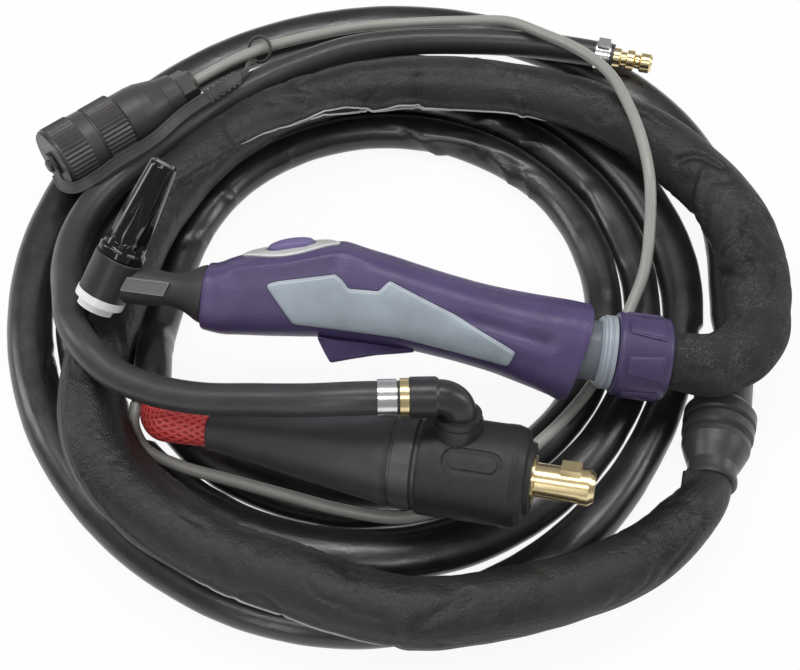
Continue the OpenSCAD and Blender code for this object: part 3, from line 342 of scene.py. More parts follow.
def shaded(mesh, sharp=32):
    """Soft shading, except over corners sharper than so many degrees."""
    mesh.shade_smooth()
    mesh.set_sharp_from_angle(angle=math.radians(sharp))


def dress(name, look):
    """Gives a CAD node its material and smooth shading over its gentle corners."""
    mesh = NODES[name].data
    mesh.materials.clear()
    mesh.materials.append(LOOKS[look])
    shaded(mesh)


NODE_LOOKS = {
    "head": "head_body",
    "brass": "head_core power_pin hose_tail_ring gas_plug plug_pins",
    "white": "front_insulator",
    "gloss": "back_cap",
    "seal": "back_cap_seal",
    "neck": "neck",
    "copper": "neck_tube power_tube",
    "plate": "neck_plate",
    "purple": "handle_shell_left handle_shell_right cover_nut",
    "inlay": "side_inlay_left side_inlay_right",
    "bezel": "button_bezel",
    "purple_button": "trigger_button",
    "elbow": "trigger_switch elbow_base gas_elbow elbow_collar",
    "dark_steel": "handle_screws",
    "seat": "knuckle_seat",
    "ball": "knuckle_ball",
    "ring": "cover_clamp_ring",
    "rubber": "core_hose cover_joint",
    "boot": "cable_boot connector_collar",
    "connector": "connector_body grip_pads connector_lip",
    "steel": "elbow_clamp plug_clamp",
    "plug": "control_plug_body plug_insert coupling_ring gland_nut dust_cap dust_cap_rivet",
}
for look_name, node_names in NODE_LOOKS.items():
    for node_name in node_names.split():
        dress(node_name, look_name)


# ---- Shapes ----

def unit(vectors):
    return vectors / np.linalg.norm(vectors, axis=-1, keepdims=True)


def lengths(points):
    """How far along a line each of its points is."""
    return np.concatenate([[0], np.cumsum(np.linalg.norm(np.diff(points, axis=0), axis=1))])


def smooth_route(points, step):
    """A centripetal Catmull-Rom curve through the points, even steps along it."""
    p = [Vector(q) for q in points]
    p = [p[0] * 2 - p[1]] + p + [p[-1] * 2 - p[-2]]
    dense = []
    for i in range(1, len(p) - 2):
        a, b, c, d = p[i - 1:i + 3]
        t0 = 0
        t1 = t0 + max((b - a).length, 1e-6) ** 0.5
        t2 = t1 + max((c - b).length, 1e-6) ** 0.5
        t3 = t2 + max((d - c).length, 1e-6) ** 0.5
        n = max(4, int((c - b).length / 0.8))
        for k in range(n):
            t = t1 + (t2 - t1) * k / n
            ab = a.lerp(b, (t - t0) / (t1 - t0))
            bc = b.lerp(c, (t - t1) / (t2 - t1))
            cd = c.lerp(d, (t - t2) / (t3 - t2))
            abc = ab.lerp(bc, (t - t0) / (t2 - t0))
            bcd = bc.lerp(cd, (t - t1) / (t3 - t1))
            dense.append(abc.lerp(bcd, (t - t1) / (t2 - t1)))
    dense.append(p[-2])
    xyz = np.array(dense)
    s = lengths(xyz)
    n = max(3, int(round(s[-1] / step)) + 1)
    at = np.linspace(0, s[-1], n)
    return np.stack([np.interp(at, s, xyz[:, k]) for k in range(3)], axis=1), at


def route_frames(points):
    """Along the route, level and to its right, and up."""
    t = unit(np.gradient(points, axis=0))
    u = unit(np.cross(t, [0, 0, 1.0]))
    return t, u, np.cross(u, t)


def to_object(name, verts, faces, matrix, look, body, uvs=None):
    """A mesh piece with one look or several, riding on its body unless that is None."""
    mesh = bpy.data.meshes.new(name)
    flip = matrix.to_3x3().determinant() < 0
    mesh.from_pydata([matrix @ Vector(v) for v in verts], [],
                     [f[::-1] for f in faces] if flip else faces)
    if uvs is not None:
        layer = mesh.uv_layers.new(name="route")
        layer.data.foreach_set("uv", np.array(uvs, np.float32).ravel())
    for one in [look] if isinstance(look, str) else look:
        mesh.materials.append(LOOKS[one])
    mesh.shade_smooth()
    o = added(name, mesh)
    if body:
        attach(o, body)
    return o


def tube(name, route, radius, sides, step, look, body, shape=None, floor=None):
    """A tube along a route, with its path and length. shape(places, angles, points, outward)
    gives its radii."""
    points, at = smooth_route(route, step)
    _, u, v = route_frames(points)
    a = np.arange(sides) * 2 * math.pi / sides
    outward = np.cos(a)[None, :, None] * u[:, None] + np.sin(a)[None, :, None] * v[:, None]
    r = shape(at[:, None], a[None], points, outward) if shape else np.full((len(at), sides), radius)
    skin = points[:, None] + r[:, :, None] * outward
    if floor is not None:
        skin[:, :, 2] = np.maximum(skin[:, :, 2], floor)
    verts, faces = loft(skin)
    uvs = []
    for y0, y1 in zip(at * MM, at[1:] * MM):
        for k in range(sides):
            x0, x1 = k / sides, (k + 1) / sides
            uvs += [(x0, y0), (x1, y0), (x1, y1), (x0, y1)]
    uvs += [(0, 0)] * 2 * sides
    o = to_object(name, verts, faces, COIL_FRAME, look, body, uvs)
    shaded(o.data, 70)
    return o, [tuple(COIL_FRAME @ Vector(p)) for p in points], at[-1]


def wavy(points, scale, seed=0.0):
    """Soft noise, within 1 either way, at an array of points."""
    flat = (points / scale + (seed, 0, 0)).reshape(-1, 3)
    return np.array([noise.noise(q) for q in flat]).reshape(points.shape[:-1])


def eased(x):
    """From 0 to 1 with level ends, as x goes from 0 to 1."""
    u = np.clip(x, 0, 1)
    return u * u * (3 - 2 * u)


def pressed(s, a, marks, radius):
    """How far creases move a tube's surface. Each is (depth, width, (place, degrees), ...)."""
    k = math.radians(radius)
    out = 0 * s + 0 * a
    for depth, width, *line in marks:
        near = out * 0 + 1e9
        for (s0, a0), (s1, a1) in zip(line, line[1:]):
            ds, da = s1 - s0, (a1 - a0) * k
            x, y = s - s0, a * radius - a0 * k
            t = np.clip((x * ds + y * da) / (ds * ds + da * da), 0, 1)
            near = np.minimum(near, (x - t * ds) ** 2 + (y - t * da) ** 2)
        q = near / width ** 2
        out = out + depth * (0.8 * q - 1) * np.exp(-q)
    return out


def monotone(xs, ys, x):
    """A smooth curve through the values that never overshoots them."""
    h = np.diff(xs)
    d = np.diff(ys) / h
    m = np.zeros(len(xs))
    m[0], m[-1] = d[0], d[-1]
    for k in range(1, len(xs) - 1):
        if d[k - 1] * d[k] > 0:
            w1, w2 = 2 * h[k] + h[k - 1], h[k] + 2 * h[k - 1]
            m[k] = (w1 + w2) / (w1 / d[k - 1] + w2 / d[k])
    i = np.clip(np.searchsorted(xs, x, side="right") - 1, 0, len(xs) - 2)
    t = (x - xs[i]) / h[i]
    return ((1 + 2 * t) * (1 - t) ** 2 * ys[i] + t * (1 - t) ** 2 * h[i] * m[i]
            + t * t * (3 - 2 * t) * ys[i + 1] + t * t * (t - 1) * h[i] * m[i + 1])


def band(a, b, n):
    """Faces between two rings of n points that start at a and at b."""
    return [(a + k, a + (k + 1) % n, b + (k + 1) % n, b + k) for k in range(n)]


def loft(rings, endless=False):
    """Verts and faces through rings of as many points each: capped, or an endless loop."""
    n, count = len(rings[0]), len(rings)
    verts = [tuple(p) for ring in rings for p in ring]
    faces = []
    for i in range(count if endless else count - 1):
        faces += band(i * n, (i + 1) % count * n, n)
    if not endless:
        last = (count - 1) * n
        faces += [tuple(range(n))[::-1], tuple(range(last, last + n))]
    return verts, faces


def lofted(name, rings, matrix, look, body=None, sharp=None, endless=False):
    """A mesh piece through rings, settled if it says which corners are sharp."""
    verts, faces = loft(rings, endless)
    o = to_object(name, verts, faces, matrix, look, body)
    if sharp:
        settle(o, sharp)
    return o


def revolve(name, profile, matrix, look, body, sides=128, shape=None, step=None, sharp=40):
    """A turned piece along X from (place, radius) pairs; shape(x, angle, r) gives its radius."""
    if step:
        fine = []
        for (x0, r0), (x1, r1) in zip(profile, profile[1:]):
            n = max(1, int(math.hypot(x1 - x0, r1 - r0) / step))
            fine += [(x0 + (x1 - x0) * k / n, r0 + (r1 - r0) * k / n) for k in range(n)]
        profile = fine + [profile[-1]]
    rings = []
    for x, r in profile:
        ring = []
        for k in range(sides):
            a = 2 * math.pi * k / sides
            q = shape(x, a, r) if shape else r
            ring.append((x, q * math.cos(a), q * math.sin(a)))
        rings.append(ring)
    return lofted(name, rings, matrix, look, body, sharp)


def settle(o, sharp):
    """Faces outward, and soft shading except over sharp corners."""
    bm = bmesh.new()
    bm.from_mesh(o.data)
    bmesh.ops.remove_doubles(bm, verts=bm.verts, dist=0.000002)
    bmesh.ops.recalc_face_normals(bm, faces=bm.faces)
    bm.to_mesh(o.data)
    bm.free()
    shaded(o.data, sharp)


def rounded(points, radius, step=0.6):
    """A closed outline with its corners rounded, in even short steps."""
    p = [np.array(q, float) for q in points]
    out = []
    for i in range(len(p)):
        a, b, c = p[i - 1], p[i], p[(i + 1) % len(p)]
        d0, d1 = unit(a - b), unit(c - b)
        half = math.acos(max(-1, min(1, float(d0 @ d1)))) / 2
        reach = min(radius / max(math.tan(half), 0.05), 0.45 * np.linalg.norm(a - b),
                    0.45 * np.linalg.norm(c - b))
        for k in range(7):
            t = k / 6
            out.append((1 - t) ** 2 * (b + d0 * reach) + 2 * t * (1 - t) * b
                       + t * t * (b + d1 * reach))
    return resampled(np.array(out), step)


def resampled(ring, step):
    """The closed outline in even steps."""
    closed = np.vstack([ring, ring[:1]])
    s = lengths(closed)
    at = np.linspace(0, s[-1], max(12, int(s[-1] / step)) + 1)[:-1]
    return np.stack([np.interp(at, s, closed[:, k]) for k in (0, 1)], axis=1)


def anticlockwise(ring):
    x, y = ring[:, 0], ring[:, 1]
    return ring if np.sum(x * np.roll(y, -1) - y * np.roll(x, -1)) > 0 else ring[::-1]


def inset(ring, d):
    """The anticlockwise outline drawn in by d."""
    e = unit(np.roll(ring, -1, axis=0) - np.roll(ring, 1, axis=0))
    return ring + d * np.stack([-e[:, 1], e[:, 0]], axis=1)


def inside(points, ring):
    """Which points lie inside the outline."""
    x, y = points[:, 0][:, None], points[:, 1][:, None]
    a, b = ring, np.roll(ring, -1, axis=0)
    cross = (a[:, 1] > y) != (b[:, 1] > y)
    at = a[:, 0] + (y - a[:, 1]) / np.where(b[:, 1] == a[:, 1], 1, b[:, 1] - a[:, 1]) * (
        b[:, 0] - a[:, 0])
    return (cross & (x < at)).sum(axis=1) % 2 == 1


def filled(ring, hole, grid):
    """Points and triangles inside an outline, with points on a grid between."""
    low, high = ring.min(axis=0), ring.max(axis=0)
    xs, ys = (np.arange(low[k] + grid / 2, high[k], grid) for k in (0, 1))
    mesh = np.stack(np.meshgrid(xs, ys), axis=-1).reshape(-1, 2)
    keep = inside(mesh, inset(ring, grid * 0.35))
    if hole is not None:
        keep &= ~inside(mesh, inset(anticlockwise(hole), -grid * 0.35))
    loops = [ring] + ([hole] if hole is not None else [])
    verts, edges = [], []
    for loop in loops:
        base = len(verts)
        verts += [Vector(q) for q in loop]
        edges += [(base + k, base + (k + 1) % len(loop)) for k in range(len(loop))]
    verts += [Vector(q) for q in mesh[keep]]
    v, _, tris, *_ = delaunay_2d_cdt(verts, edges, [], 0, 1e-5)
    v = np.array([tuple(q) for q in v])
    middle = np.array([v[list(t)].mean(axis=0) for t in tris])
    keep = inside(middle, ring)
    if hole is not None:
        keep &= ~inside(middle, anticlockwise(hole))
    return v, [t for t, k in zip(tris, keep) if k]


def plate(name, outline, profile, place, look, body=None, hole=None, hole_profile=None,
          grid=2.0, top=None, bands=None, sharp=30):
    """A plate over a curved place. The profile is (inset, height) from its foot to its top,
    place(u, v, h) gives its points, top(u, v) adds a crown, and bands says which of its looks
    each step of the outer wall has."""
    outline = anticlockwise(np.array(outline))
    crown = top or (lambda u, v: 0)
    verts, faces, marks = [], [], []

    def wall(ring, steps, sign):
        base = len(verts)
        n = len(ring)
        for d, h in steps:
            for u, v in inset(ring, d * sign):
                verts.append(place(u, v, h + crown(u, v)))
        for i in range(len(steps) - 1):
            step = band(base + i * n, base + (i + 1) * n, n)
            faces.extend(step if sign > 0 else [f[::-1] for f in step])
            marks.extend([bands[i] if bands and sign > 0 else 0] * n)

    wall(outline, profile, 1)
    hole_top = hole_foot = None
    if hole is not None:
        hole = anticlockwise(np.array(hole))
        wall(hole, hole_profile, -1)
        hole_top = inset(hole, -hole_profile[-1][0])
        hole_foot = inset(hole, -hole_profile[0][0])
    for ring, inner, h, up in ((inset(outline, profile[-1][0]), hole_top, profile[-1][1], True),
                               (inset(outline, profile[0][0]), hole_foot, profile[0][1], False)):
        flat, tris = filled(ring, inner, grid)
        base = len(verts)
        verts += [place(u, v, h + crown(u, v)) for u, v in flat]
        faces += [tuple(base + k for k in (t if up else t[::-1])) for t in tris]
        marks += [0] * len(tris)
    o = to_object(name, verts, faces, Matrix.Identity(4), look, body)
    if bands:
        o.data.polygons.foreach_set("material_index", marks)
    settle(o, sharp)
    return o


def joined(objects):
    """One object from several, none of them riding yet."""
    bm = bmesh.new()
    for o in objects:
        bm.from_mesh(o.data)
    first = objects[0]
    bm.to_mesh(first.data)
    bm.free()
    for o in objects[1:]:
        bpy.data.objects.remove(o)
    return first


def cut(o, cutter):
    """Takes the cutter's space out of a closed piece."""
    m = o.modifiers.new("cut", "BOOLEAN")
    m.operation = "DIFFERENCE"
    m.solver = "EXACT"
    m.object = cutter
    bpy.context.view_layer.update()
    mesh = bpy.data.meshes.new_from_object(
        o.evaluated_get(bpy.context.evaluated_depsgraph_get()))
    o.modifiers.clear()
    o.data = mesh
    bpy.data.objects.remove(cutter)


def pill(length, width):
    """A round-ended outline."""
    out = []
    r, half = width / 2, (length - width) / 2
    for side in (1, -1):
        for k in range(25):
            a = math.radians(-90 + 180 * k / 24)
            out.append((side * (half + r * math.cos(a)), side * r * math.sin(a)))
    return resampled(np.array(out), 0.5)


# ---- Cords ----

COIL_FROM, COIL_TO, COIL_STEP = -5, 1250, 15.2


def coil_point(phi):
    """One wide turn, then turns that wind inward by the coil's step, as in the part's source."""
    k = eased((phi - 245) / 95)
    r = (134.5 + 14 * eased((phi + 12) / 52) - 27.5 * k
         + 6 * (eased((phi - 370) / 140) - eased((phi - 600) / 105))
         - max(0, phi - 345) / 360 * COIL_STEP)
    a = math.radians(phi)
    return (r * math.cos(a) - 7 * k, r * math.sin(a) - 4 * k, SLEEVE_D / 2)


COVER_ROUTE = [
    (99.4, -53.5, 35.6), (105.4, -54.1, 35.1), (114.8, -55.1, 34.8), (126, -52, 36),
    (135, -43, 35), (140, -30, 32), (143, -14, 29), (143, 4, 27), (138, 23, 27), (127, 42, 27),
    (110, 60, 27), (88, 74, 27), (64, 83, 27), (38, 89, 27), (12, 91, 27), (-15, 88, 27),
    (-41, 78, 27), (-63, 64, 27), (-82, 45, 27), (-96, 23, 27), (-104, 0, 27), (-109, -23, 27),
    (-112, -46, 27), (-112, -70, 27), (-104, -93, 27), (-87, -113, 27), (-64, -128, 27),
    (-38, -138, 27), (-12, -144.5, 27), (14, -147, 27), (38, -145, 26), (60, -140, 23),
    (79, -133, 21), (95, -123, 20), (105, -113, 20), (110.7, -104, 19.6), (113, -95.5, 18.5)]
SLEEVE_ROUTE = ([(131.1, -28.9, 10)]
                + [coil_point(phi) for phi in range(COIL_FROM, COIL_TO + 1, 15)]
                + [(-94, -25, 10.5), (-93, -38, 17), (-92, -49, 20.5), (-91.3, -63.3, 21)])
HOSE_ROUTE = [
    (1.2, -87.8, 67.1), (-12.8, -88.3, 67.4), (-30, -87, 64), (-49, -83, 57.5),
    (-68, -79, 51.5), (-86, -73, 47.5), (-101, -65, 46), (-112, -54, 46), (-119.5, -41, 44),
    (-123, -28, 40.5), (-127, -10, 34), (-127, 8, 30), (-122, 25, 28.5), (-115, 36, 28),
    (-107, 45, 28), (-98.3, 54.3, 28.5), (-87.3, 66.2, 28.5), (-76, 78, 28), (-59, 92, 27.5),
    (-41, 104, 26), (-20, 114, 25), (4, 120, 23), (30, 122, 21.5), (56, 121, 20.8),
    (77, 117.5, 20.6), (95, 113, 20.6)]
CABLE_ROUTE = [
    (-96.7, -63.4, 21), (-96.9, -72, 20.5), (-91, -82, 19.5), (-78, -88, 18), (-60, -93, 17),
    (-40, -99, 17), (-19, -105, 17), (2, -108, 17), (20, -103, 17), (36, -93, 17),
    (50, -80, 17), (62, -68, 17), (73, -54, 17), (82, -38, 17), (90, -21, 18.5), (97, -5, 24),
    (99.5, 10, 31), (100, 28, 40), (98, 47, 43), (94, 66, 43), (88, 85, 41), (77, 103, 36),
    (63, 117.5, 30.8), (49, 127.5, 28), (31, 134, 22), (8, 136.5, 18.5), (-18, 132, 20),
    (-42, 122, 23.5), (-60, 112, 26.5), (-76, 99.2, 29), (-90.2, 87.3, 29)]
BRAID_ROUTE = [(-88.8, -63.4, 21.2), (-88.5, -69.5, 22.6), (-85.4, -74.8, 25.6),
               (-80.5, -77.6, 28.6), (-66.8, -80.3, 30.9)]


# Creases placed after the folds in the photo: depth (less than 0 stands out), width, then
# points of (place along, degrees round from outside over the top)
SLEEVE_MARKS = [
    (-1.5, 2.6, (2402, 88), (2395, 93), (2386, 156), (2377, 198)),
    (-1.2, 2.4, (2383, 144), (2366, 128), (2350, 104), (2334, 84)),
    (-1.2, 2.2, (1777, 200), (1765, 114), (1756, 63)),
    (-1.2, 2.2, (2354, 70), (2357, 110), (2359, 140)),
    (-1.3, 2.0, (2353, 129), (2344, 150), (2338, 190)),
    (-1.2, 2.0, (1747, 156), (1740, 120)), (-1.0, 2.4, (2332, 123), (2326, 180)),
    (-1.1, 2.6, (2486, 95), (2485, 165)), (-0.9, 2.4, (2452, 171), (2449, 120)),
    (-1.1, 2.6, (1929, 140), (1942, 152)), (-1.2, 2.6, (1950, 178), (1958, 140)),
    (-1.0, 2.6, (2533, 90), (2541, 140)), (1.0, 2.4, (2516, 100), (2508, 170)),
    (-0.9, 4.0, (1705, 123), (1687, 162), (1668, 150)), (-0.9, 4.0, (2290, 100), (2263, 78)),
    (1.1, 1.6, (528, 183), (540, 150)), (1.1, 1.6, (474, 190), (483, 160)),
    (1.0, 1.8, (1329, 20), (1340, 60))]
COVER_MARKS = [
    (1.3, 2.5, (349, 69), (352, 111), (352, 146)), (-0.9, 2.2, (360, 129), (367, 144)),
    (1.1, 2.2, (286, 146), (288, 176)), (1.4, 2.2, (264, 116), (264, 176)),
    (-1.0, 2.2, (219, 147), (216, 174)),
    (0.5, 3.0, (291, 108), (271, 114), (250, 117), (220, 111)),
    (-2.0, 1.9, (91.5, 129), (82.5, 111), (76.5, 105), (72, 123), (73.5, 159)),
    (-1.9, 1.7, (70.5, 120), (61.5, 114), (55.5, 138), (57, 178)),
    (2.0, 2.0, (79.5, 192), (61.5, 141), (58.5, 165)),
    (-1.9, 2.2, (126, 129), (120, 159), (105, 200)),
    (2.1, 2.1, (139, 141), (135, 117), (130, 108), (124, 99)),
    (1.5, 2.2, (10, 165), (24, 138), (38, 150)), (1.8, 2.2, (99, 118), (87, 140), (84, 172)),
    (1.6, 2.0, (66, 96), (50, 104), (44, 130)),
    (-0.9, 2.6, (20, 112), (42, 96)), (1.0, 3.2, (97, 80), (88, 66), (92, 40)),
    (0.9, 3.0, (330, 90), (318, 126)), (0.8, 3.0, (392, 96), (384, 130)),
    (-0.8, 2.6, (240, 60), (228, 92)), (0.7, 4.0, (650, 120), (664, 60))]
# Fainter creases spread evenly over the rest of the hide
COVER_MARKS += [(0.55 + 0.3 * math.sin(k * 5.1), 2.6, (24 + 31 * k, (137.5 * k) % 300),
                 (32 + 31 * k + 9 * math.sin(k * 2.3), (137.5 * k) % 300 + 46)) for k in range(23)]
# Place along the cover, its radius there, and how far it sags towards the coil's middle
COVER = np.array([
    (0, 10.2, 0), (16, 12.2, 0), (35, 12.3, 1.6), (55, 12.9, 4.3), (105, 12.9, 4.3),
    (135, 12.8, 4), (165, 12.5, 2.2), (195, 12.2, 0), (430, 12.3, 0), (500, 12.4, 0.6),
    (530, 12.4, 2.2), (560, 12.6, 3.6), (600, 12.6, 3), (640, 12.3, -1.4), (665, 12.1, 0.4),
    (700, 11.9, 3.6), (725, 11.5, 4.4), (748, 10.6, 4.2), (760, 9.4, 2.6), (769.3, 8.2, 0)])
# The cover's open edges: place along, degrees round, gap in degrees, how far they stand out,
# and how far the hide below draws in
LIPS = np.array([
    (0, 205, 2, 0, 0), (150, 190, 2, 0.4, 0), (195, 180, 2, 0.9, 2), (208, 177, 2.5, 1.2, 3),
    (222, 175, 2.5, 1.5, 3.4), (236, 180, 2.5, 1.5, 3.6), (249, 183, 3, 1.7, 3.6),
    (261, 180, 3, 1.7, 3.6), (267, 173, 6, 1.9, 3.6), (273, 171, 6.5, 1.9, 3.6),
    (279, 178, 3, 1.7, 3.5), (286, 179, 1.5, 1.4, 3.4), (293, 163, 9, 1.7, 3.4),
    (299, 156, 12, 1.9, 3.6), (305, 153, 10, 1.7, 3.8), (311, 153, 6, 1.3, 4.2),
    (317, 155, 2.5, 1.1, 4.6), (326, 155, 2, 1.1, 4.8), (340, 145, 2, 1.1, 4.8),
    (354, 140, 2, 1.1, 4.4), (369, 131, 2, 0.9, 3.4), (378, 122, 2, 0.8, 2), (400, 105, 2, 0.5, 0),
    (470, 60, 2, 0.4, 0), (500, 42, 2, 0.5, 0), (530, 22, 2, 0.5, 0), (560, 8, 2, 0.6, 0),
    (605, 0, 2, 0.6, 0), (660, -6, 2, 0.3, 0), (770, -20, 2, 0, 0)])
# The loose flap: place along, how far its edge reaches, degrees round
FLAP = np.array([(480, 12, 186), (500, 14.5, 180), (520, 16.6, 172), (541, 17.3, 164),
                 (561, 17.3, 158), (565.5, 12, 156)])


def across(table, s):
    """The table's columns at the places s, each shaped as s is."""
    return [np.interp(s, table[:, 0], column) for column in table[:, 1:].T]


# The sleeve's half width on its outer and inner side where nothing lies near, how far it may
# spread, and how far any of it reaches; then the rubber joint's radius and the hide's reach
FREE_OUT, FREE_IN, SPREAD, SLEEVE_REACH = 7.5, 8.0, 11, 11.25
JOINT_R, COVER_REACH = 7.3, 17.6
# A neighbour lies this near along the strand and this far off along the route, and a gap past
# the last of these is none
ABREAST, ANOTHER_TURN, NOTHING_NEAR = 7, 60, 100


def sleeve_shape(s, a, points, outward):
    """An oval that spreads sideways as far as its neighbours leave room."""
    t, u, _ = route_frames(points)
    joint = np.linspace(COVER_ROUTE[-1], SLEEVE_ROUTE[0], 12)
    grown = np.array([0] * len(points) + [JOINT_R] * len(joint))
    to = np.vstack([points, joint])[None] - points[:, None]
    side = (to * u[:, None]).sum(axis=2)
    places = np.append(s[:, 0], np.full(len(joint), 1e6))
    near = abs((to * t[:, None]).sum(axis=2)) < ABREAST
    near &= abs(places[None] - s) > ANOTHER_TURN
    high = SLEEVE_D / 2
    wide = []
    for way, free in ((1, FREE_OUT), (-1, FREE_IN)):
        gap = np.where(near & (way * side > 0), way * side - 2 * grown[None], 1e3).min(axis=1)
        alone = gap > NOTHING_NEAR
        half = np.where(alone, free, np.clip(gap / 2 - 0.12, high, SPREAD))
        half = np.convolve(np.pad(half, 10, mode="edge"), np.ones(21) / 21, mode="valid")
        half = np.minimum(half, np.where(alone, 20, np.maximum(gap / 2 - 0.1, high)))
        wide.append(half[:, None])
    half = np.where(np.cos(a) > 0, *wide)
    r = 1 / np.sqrt((np.cos(a) / half) ** 2 + (np.sin(a) / high) ** 2)
    skin = points[:, None] + 6 * outward
    r = r * (0.985 + 0.035 * wavy(skin, 26, 3.1) + 0.018 * wavy(skin, 9, 7.7))
    r = r + pressed(s, a, SLEEVE_MARKS, high)
    r = r * (1 - 0.2 * eased((14 - s) / 14))
    below_top = (high + 0.12) / np.maximum(np.sin(a), 0.3)
    return np.minimum(r, np.where(np.sin(a) > 0.3, below_top, SLEEVE_REACH))


def cover_shape(s, a, points, outward):
    """The hide: sagging towards the middle, its two edges standing out, a loose flap."""
    size, sag = across(COVER, s)
    lip, gap, stand, draw = across(LIPS, s)
    r = -sag * np.cos(a) + np.sqrt(size ** 2 - (sag * np.sin(a)) ** 2)
    past = np.degrees(a) - lip
    past = (past + 180) % 360 - 180
    r = r - draw * eased((past - gap - 1) / 6) * eased((125 - past) / 60)
    edge = np.exp(-(past / 9) ** 2) + np.exp(-((past - gap) / 9) ** 2)
    r = r + stand * np.minimum(edge, 1) - 0.5 * gap / 6 * np.exp(-((past - gap / 2) / 2.4) ** 2)
    tip, turn = across(FLAP, s)
    reach = np.arccos(np.clip(size / np.maximum(tip, size), -1, 1))
    off = abs(a - np.radians(turn))
    r = np.where(off < reach, np.maximum(r, size / np.cos(np.maximum(reach - off, 0))), r)
    skin = points[:, None] + 10 * outward
    r = r * (0.985 + 0.045 * wavy(skin, 34, 1.7) + 0.03 * wavy(skin, 12, 5.3))
    creased = np.exp(-(wavy(skin, 19, 4.2) / 0.06) ** 2) * eased(wavy(skin, 55, 9.1) * 3 + 0.5)
    r = r - 0.75 * creased * eased(s / 12) * eased((760 - s) / 12)
    r = r + pressed(s, a, COVER_MARKS, LEATHER_D / 2) * eased(s / 14) * eased((758 - s) / 14)
    return np.minimum(r, COVER_REACH)


def cover_edge(name, share, start, end, thick):
    """The cut edge of one lip, as a pale strip as wide as the hide is thick."""
    points, at = smooth_route(COVER_ROUTE, 0.7)
    _, u, v = route_frames(points)
    keep = (at > start) & (at < end)
    points, at, u, v = points[keep], at[keep], u[keep], v[keep]
    lip, gap, _, _ = across(LIPS, at)
    a = np.radians(lip + share * gap)[:, None]
    out = np.cos(a) * u + np.sin(a) * v
    beside = np.cos(a) * v - np.sin(a) * u
    r = cover_shape(at[:, None], a % (2 * math.pi), points, out[:, None])
    stray = wavy(points, 7, 20 * share)[:, None]
    fade = np.minimum(eased((at - start) / 35), eased((end - at) / 35))[:, None]
    middle = points + (r + 0.1) * out + 0.3 * stray * beside
    rings = np.stack([middle + fade * (w * thick * beside + h * out) + (fade - 1) * out
                      for w, h in ((-0.5, -0.8), (0.5, -0.8), (0.4, 0.5), (-0.4, 0.5))], axis=1)
    o = lofted(name, rings, COIL_FRAME, "edge", "lead")
    return o


leather, leather_path, leather_length = tube(
    "leather_wrap", COVER_ROUTE, LEATHER_D / 2, 112, 1.5, "leather", "lead", cover_shape)
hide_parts("leather_cover")
edges = [cover_edge("cover_edge_upper", 0, 185, 372, 0.7),
         cover_edge("cover_edge_lower", 1, 225, 345, 0.7),
         cover_edge("cover_edge_outer", 0, 545, 655, 0.35)]
in_metres(COVER_ROUTE[0])
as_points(leather_path)

sleeve, sleeve_path, sleeve_length = tube(
    "smooth_sleeve", SLEEVE_ROUTE, SLEEVE_D / 2, 40, 2.6, "sleeve", "lead", sleeve_shape,
    floor=FLOOR_Z)
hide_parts("lead_sleeve")

hose, hose_path, hose_length = tube(
    "rubber_hose", HOSE_ROUTE, HOSE_D / 2, 32, 2.5, "rubber", "lead")
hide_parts("gas_hose")

cable, cable_path, cable_length = tube(
    "grey_cable", CABLE_ROUTE, CABLE_D / 2, 24, 2, "grey_cable", "lead")
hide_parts("control_cable")


def braid_shape(s, a, points, outward):
    """Strands winding both ways, each raised where it crosses over."""
    ways = [np.sin(BRAID_STRANDS * a + way * s * 2 * math.pi / BRAID_PITCH) for way in (1, -1)]
    return BRAID_D / 2 - 0.18 + 0.2 * np.maximum(*ways)


braid, _, _ = tube("red_braid", BRAID_ROUTE, BRAID_D / 2, 140, 0.28, "braid", "lead",
                   braid_shape)
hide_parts("power_cable")

in_metres(SLEEVE_ROUTE[0])
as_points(sleeve_path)
in_metres(HOSE_ROUTE[0])
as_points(hose_path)
in_metres(CABLE_ROUTE[0])
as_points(cable_path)

# ---- Handle ----

NECK_LEN, HANDLE_LEN, SQUARE, LEAN = 35.5, 141, 2.8, math.tan(math.radians(10))
TAIL_X = NECK_LEN + HANDLE_LEN
BALL_X, TAIL_T = TAIL_X - 8.5, -1.5
KNUCKLE = TORCH @ Matrix.Translation((BALL_X, TAIL_T, 0))
# Place behind the handle's front, top, bottom, half width and share of the rear's lean
STATIONS = np.array([
    (0, 11.4, -12, 12, 0), (1.5, 11.4, -12.3, 12, 0), (8.5, 14.3, -13, 12.8, 0),
    (14.5, 17, -12.4, 13.2, 0), (24.5, 20.4, -11.4, 13.8, 0), (36.5, 23.8, -10, 14.2, 0),
    (43.5, 25, -9.2, 14.4, 0), (48.5, 25.2, -9.2, 14.4, 0), (56, 24.3, -9.3, 14.2, 0),
    (65, 23, -9.4, 14, 0), (75.5, 21, -9.6, 13.9, 0), (89, 18.6, -10.8, 14.2, 0),
    (104, 16.6, -13, 14.8, 0), (119.5, 15.6, -16, 16, 0.4), (133, 15.2, -19, 16.3, 0.8),
    (139.4, 14.8, -20.5, 16.2, 1), (141, 14.8, -20.5, 16.2, 1)])
VALLEY = ((84, 9.8), (91.6, 7.8), (100.9, 6.3), (110.2, 5.0), (118.4, 3.7), (129, 1.8))
SHOULDER = ((6, 12.2), (13, 13.8), (28.8, 17.5), (39.6, 21.2), (48, 24.2), (62, 21.5))


def section(x):
    """The middle, half height, half width, top and share of the rear's lean at x."""
    top, bottom, half, share = (monotone(STATIONS[:, 0], row, x) for row in STATIONS[:, 1:].T)
    return (top + bottom) / 2, (top - bottom) / 2, half, top, share


def bell(d, width):
    return math.exp(-(d / width) ** 2)


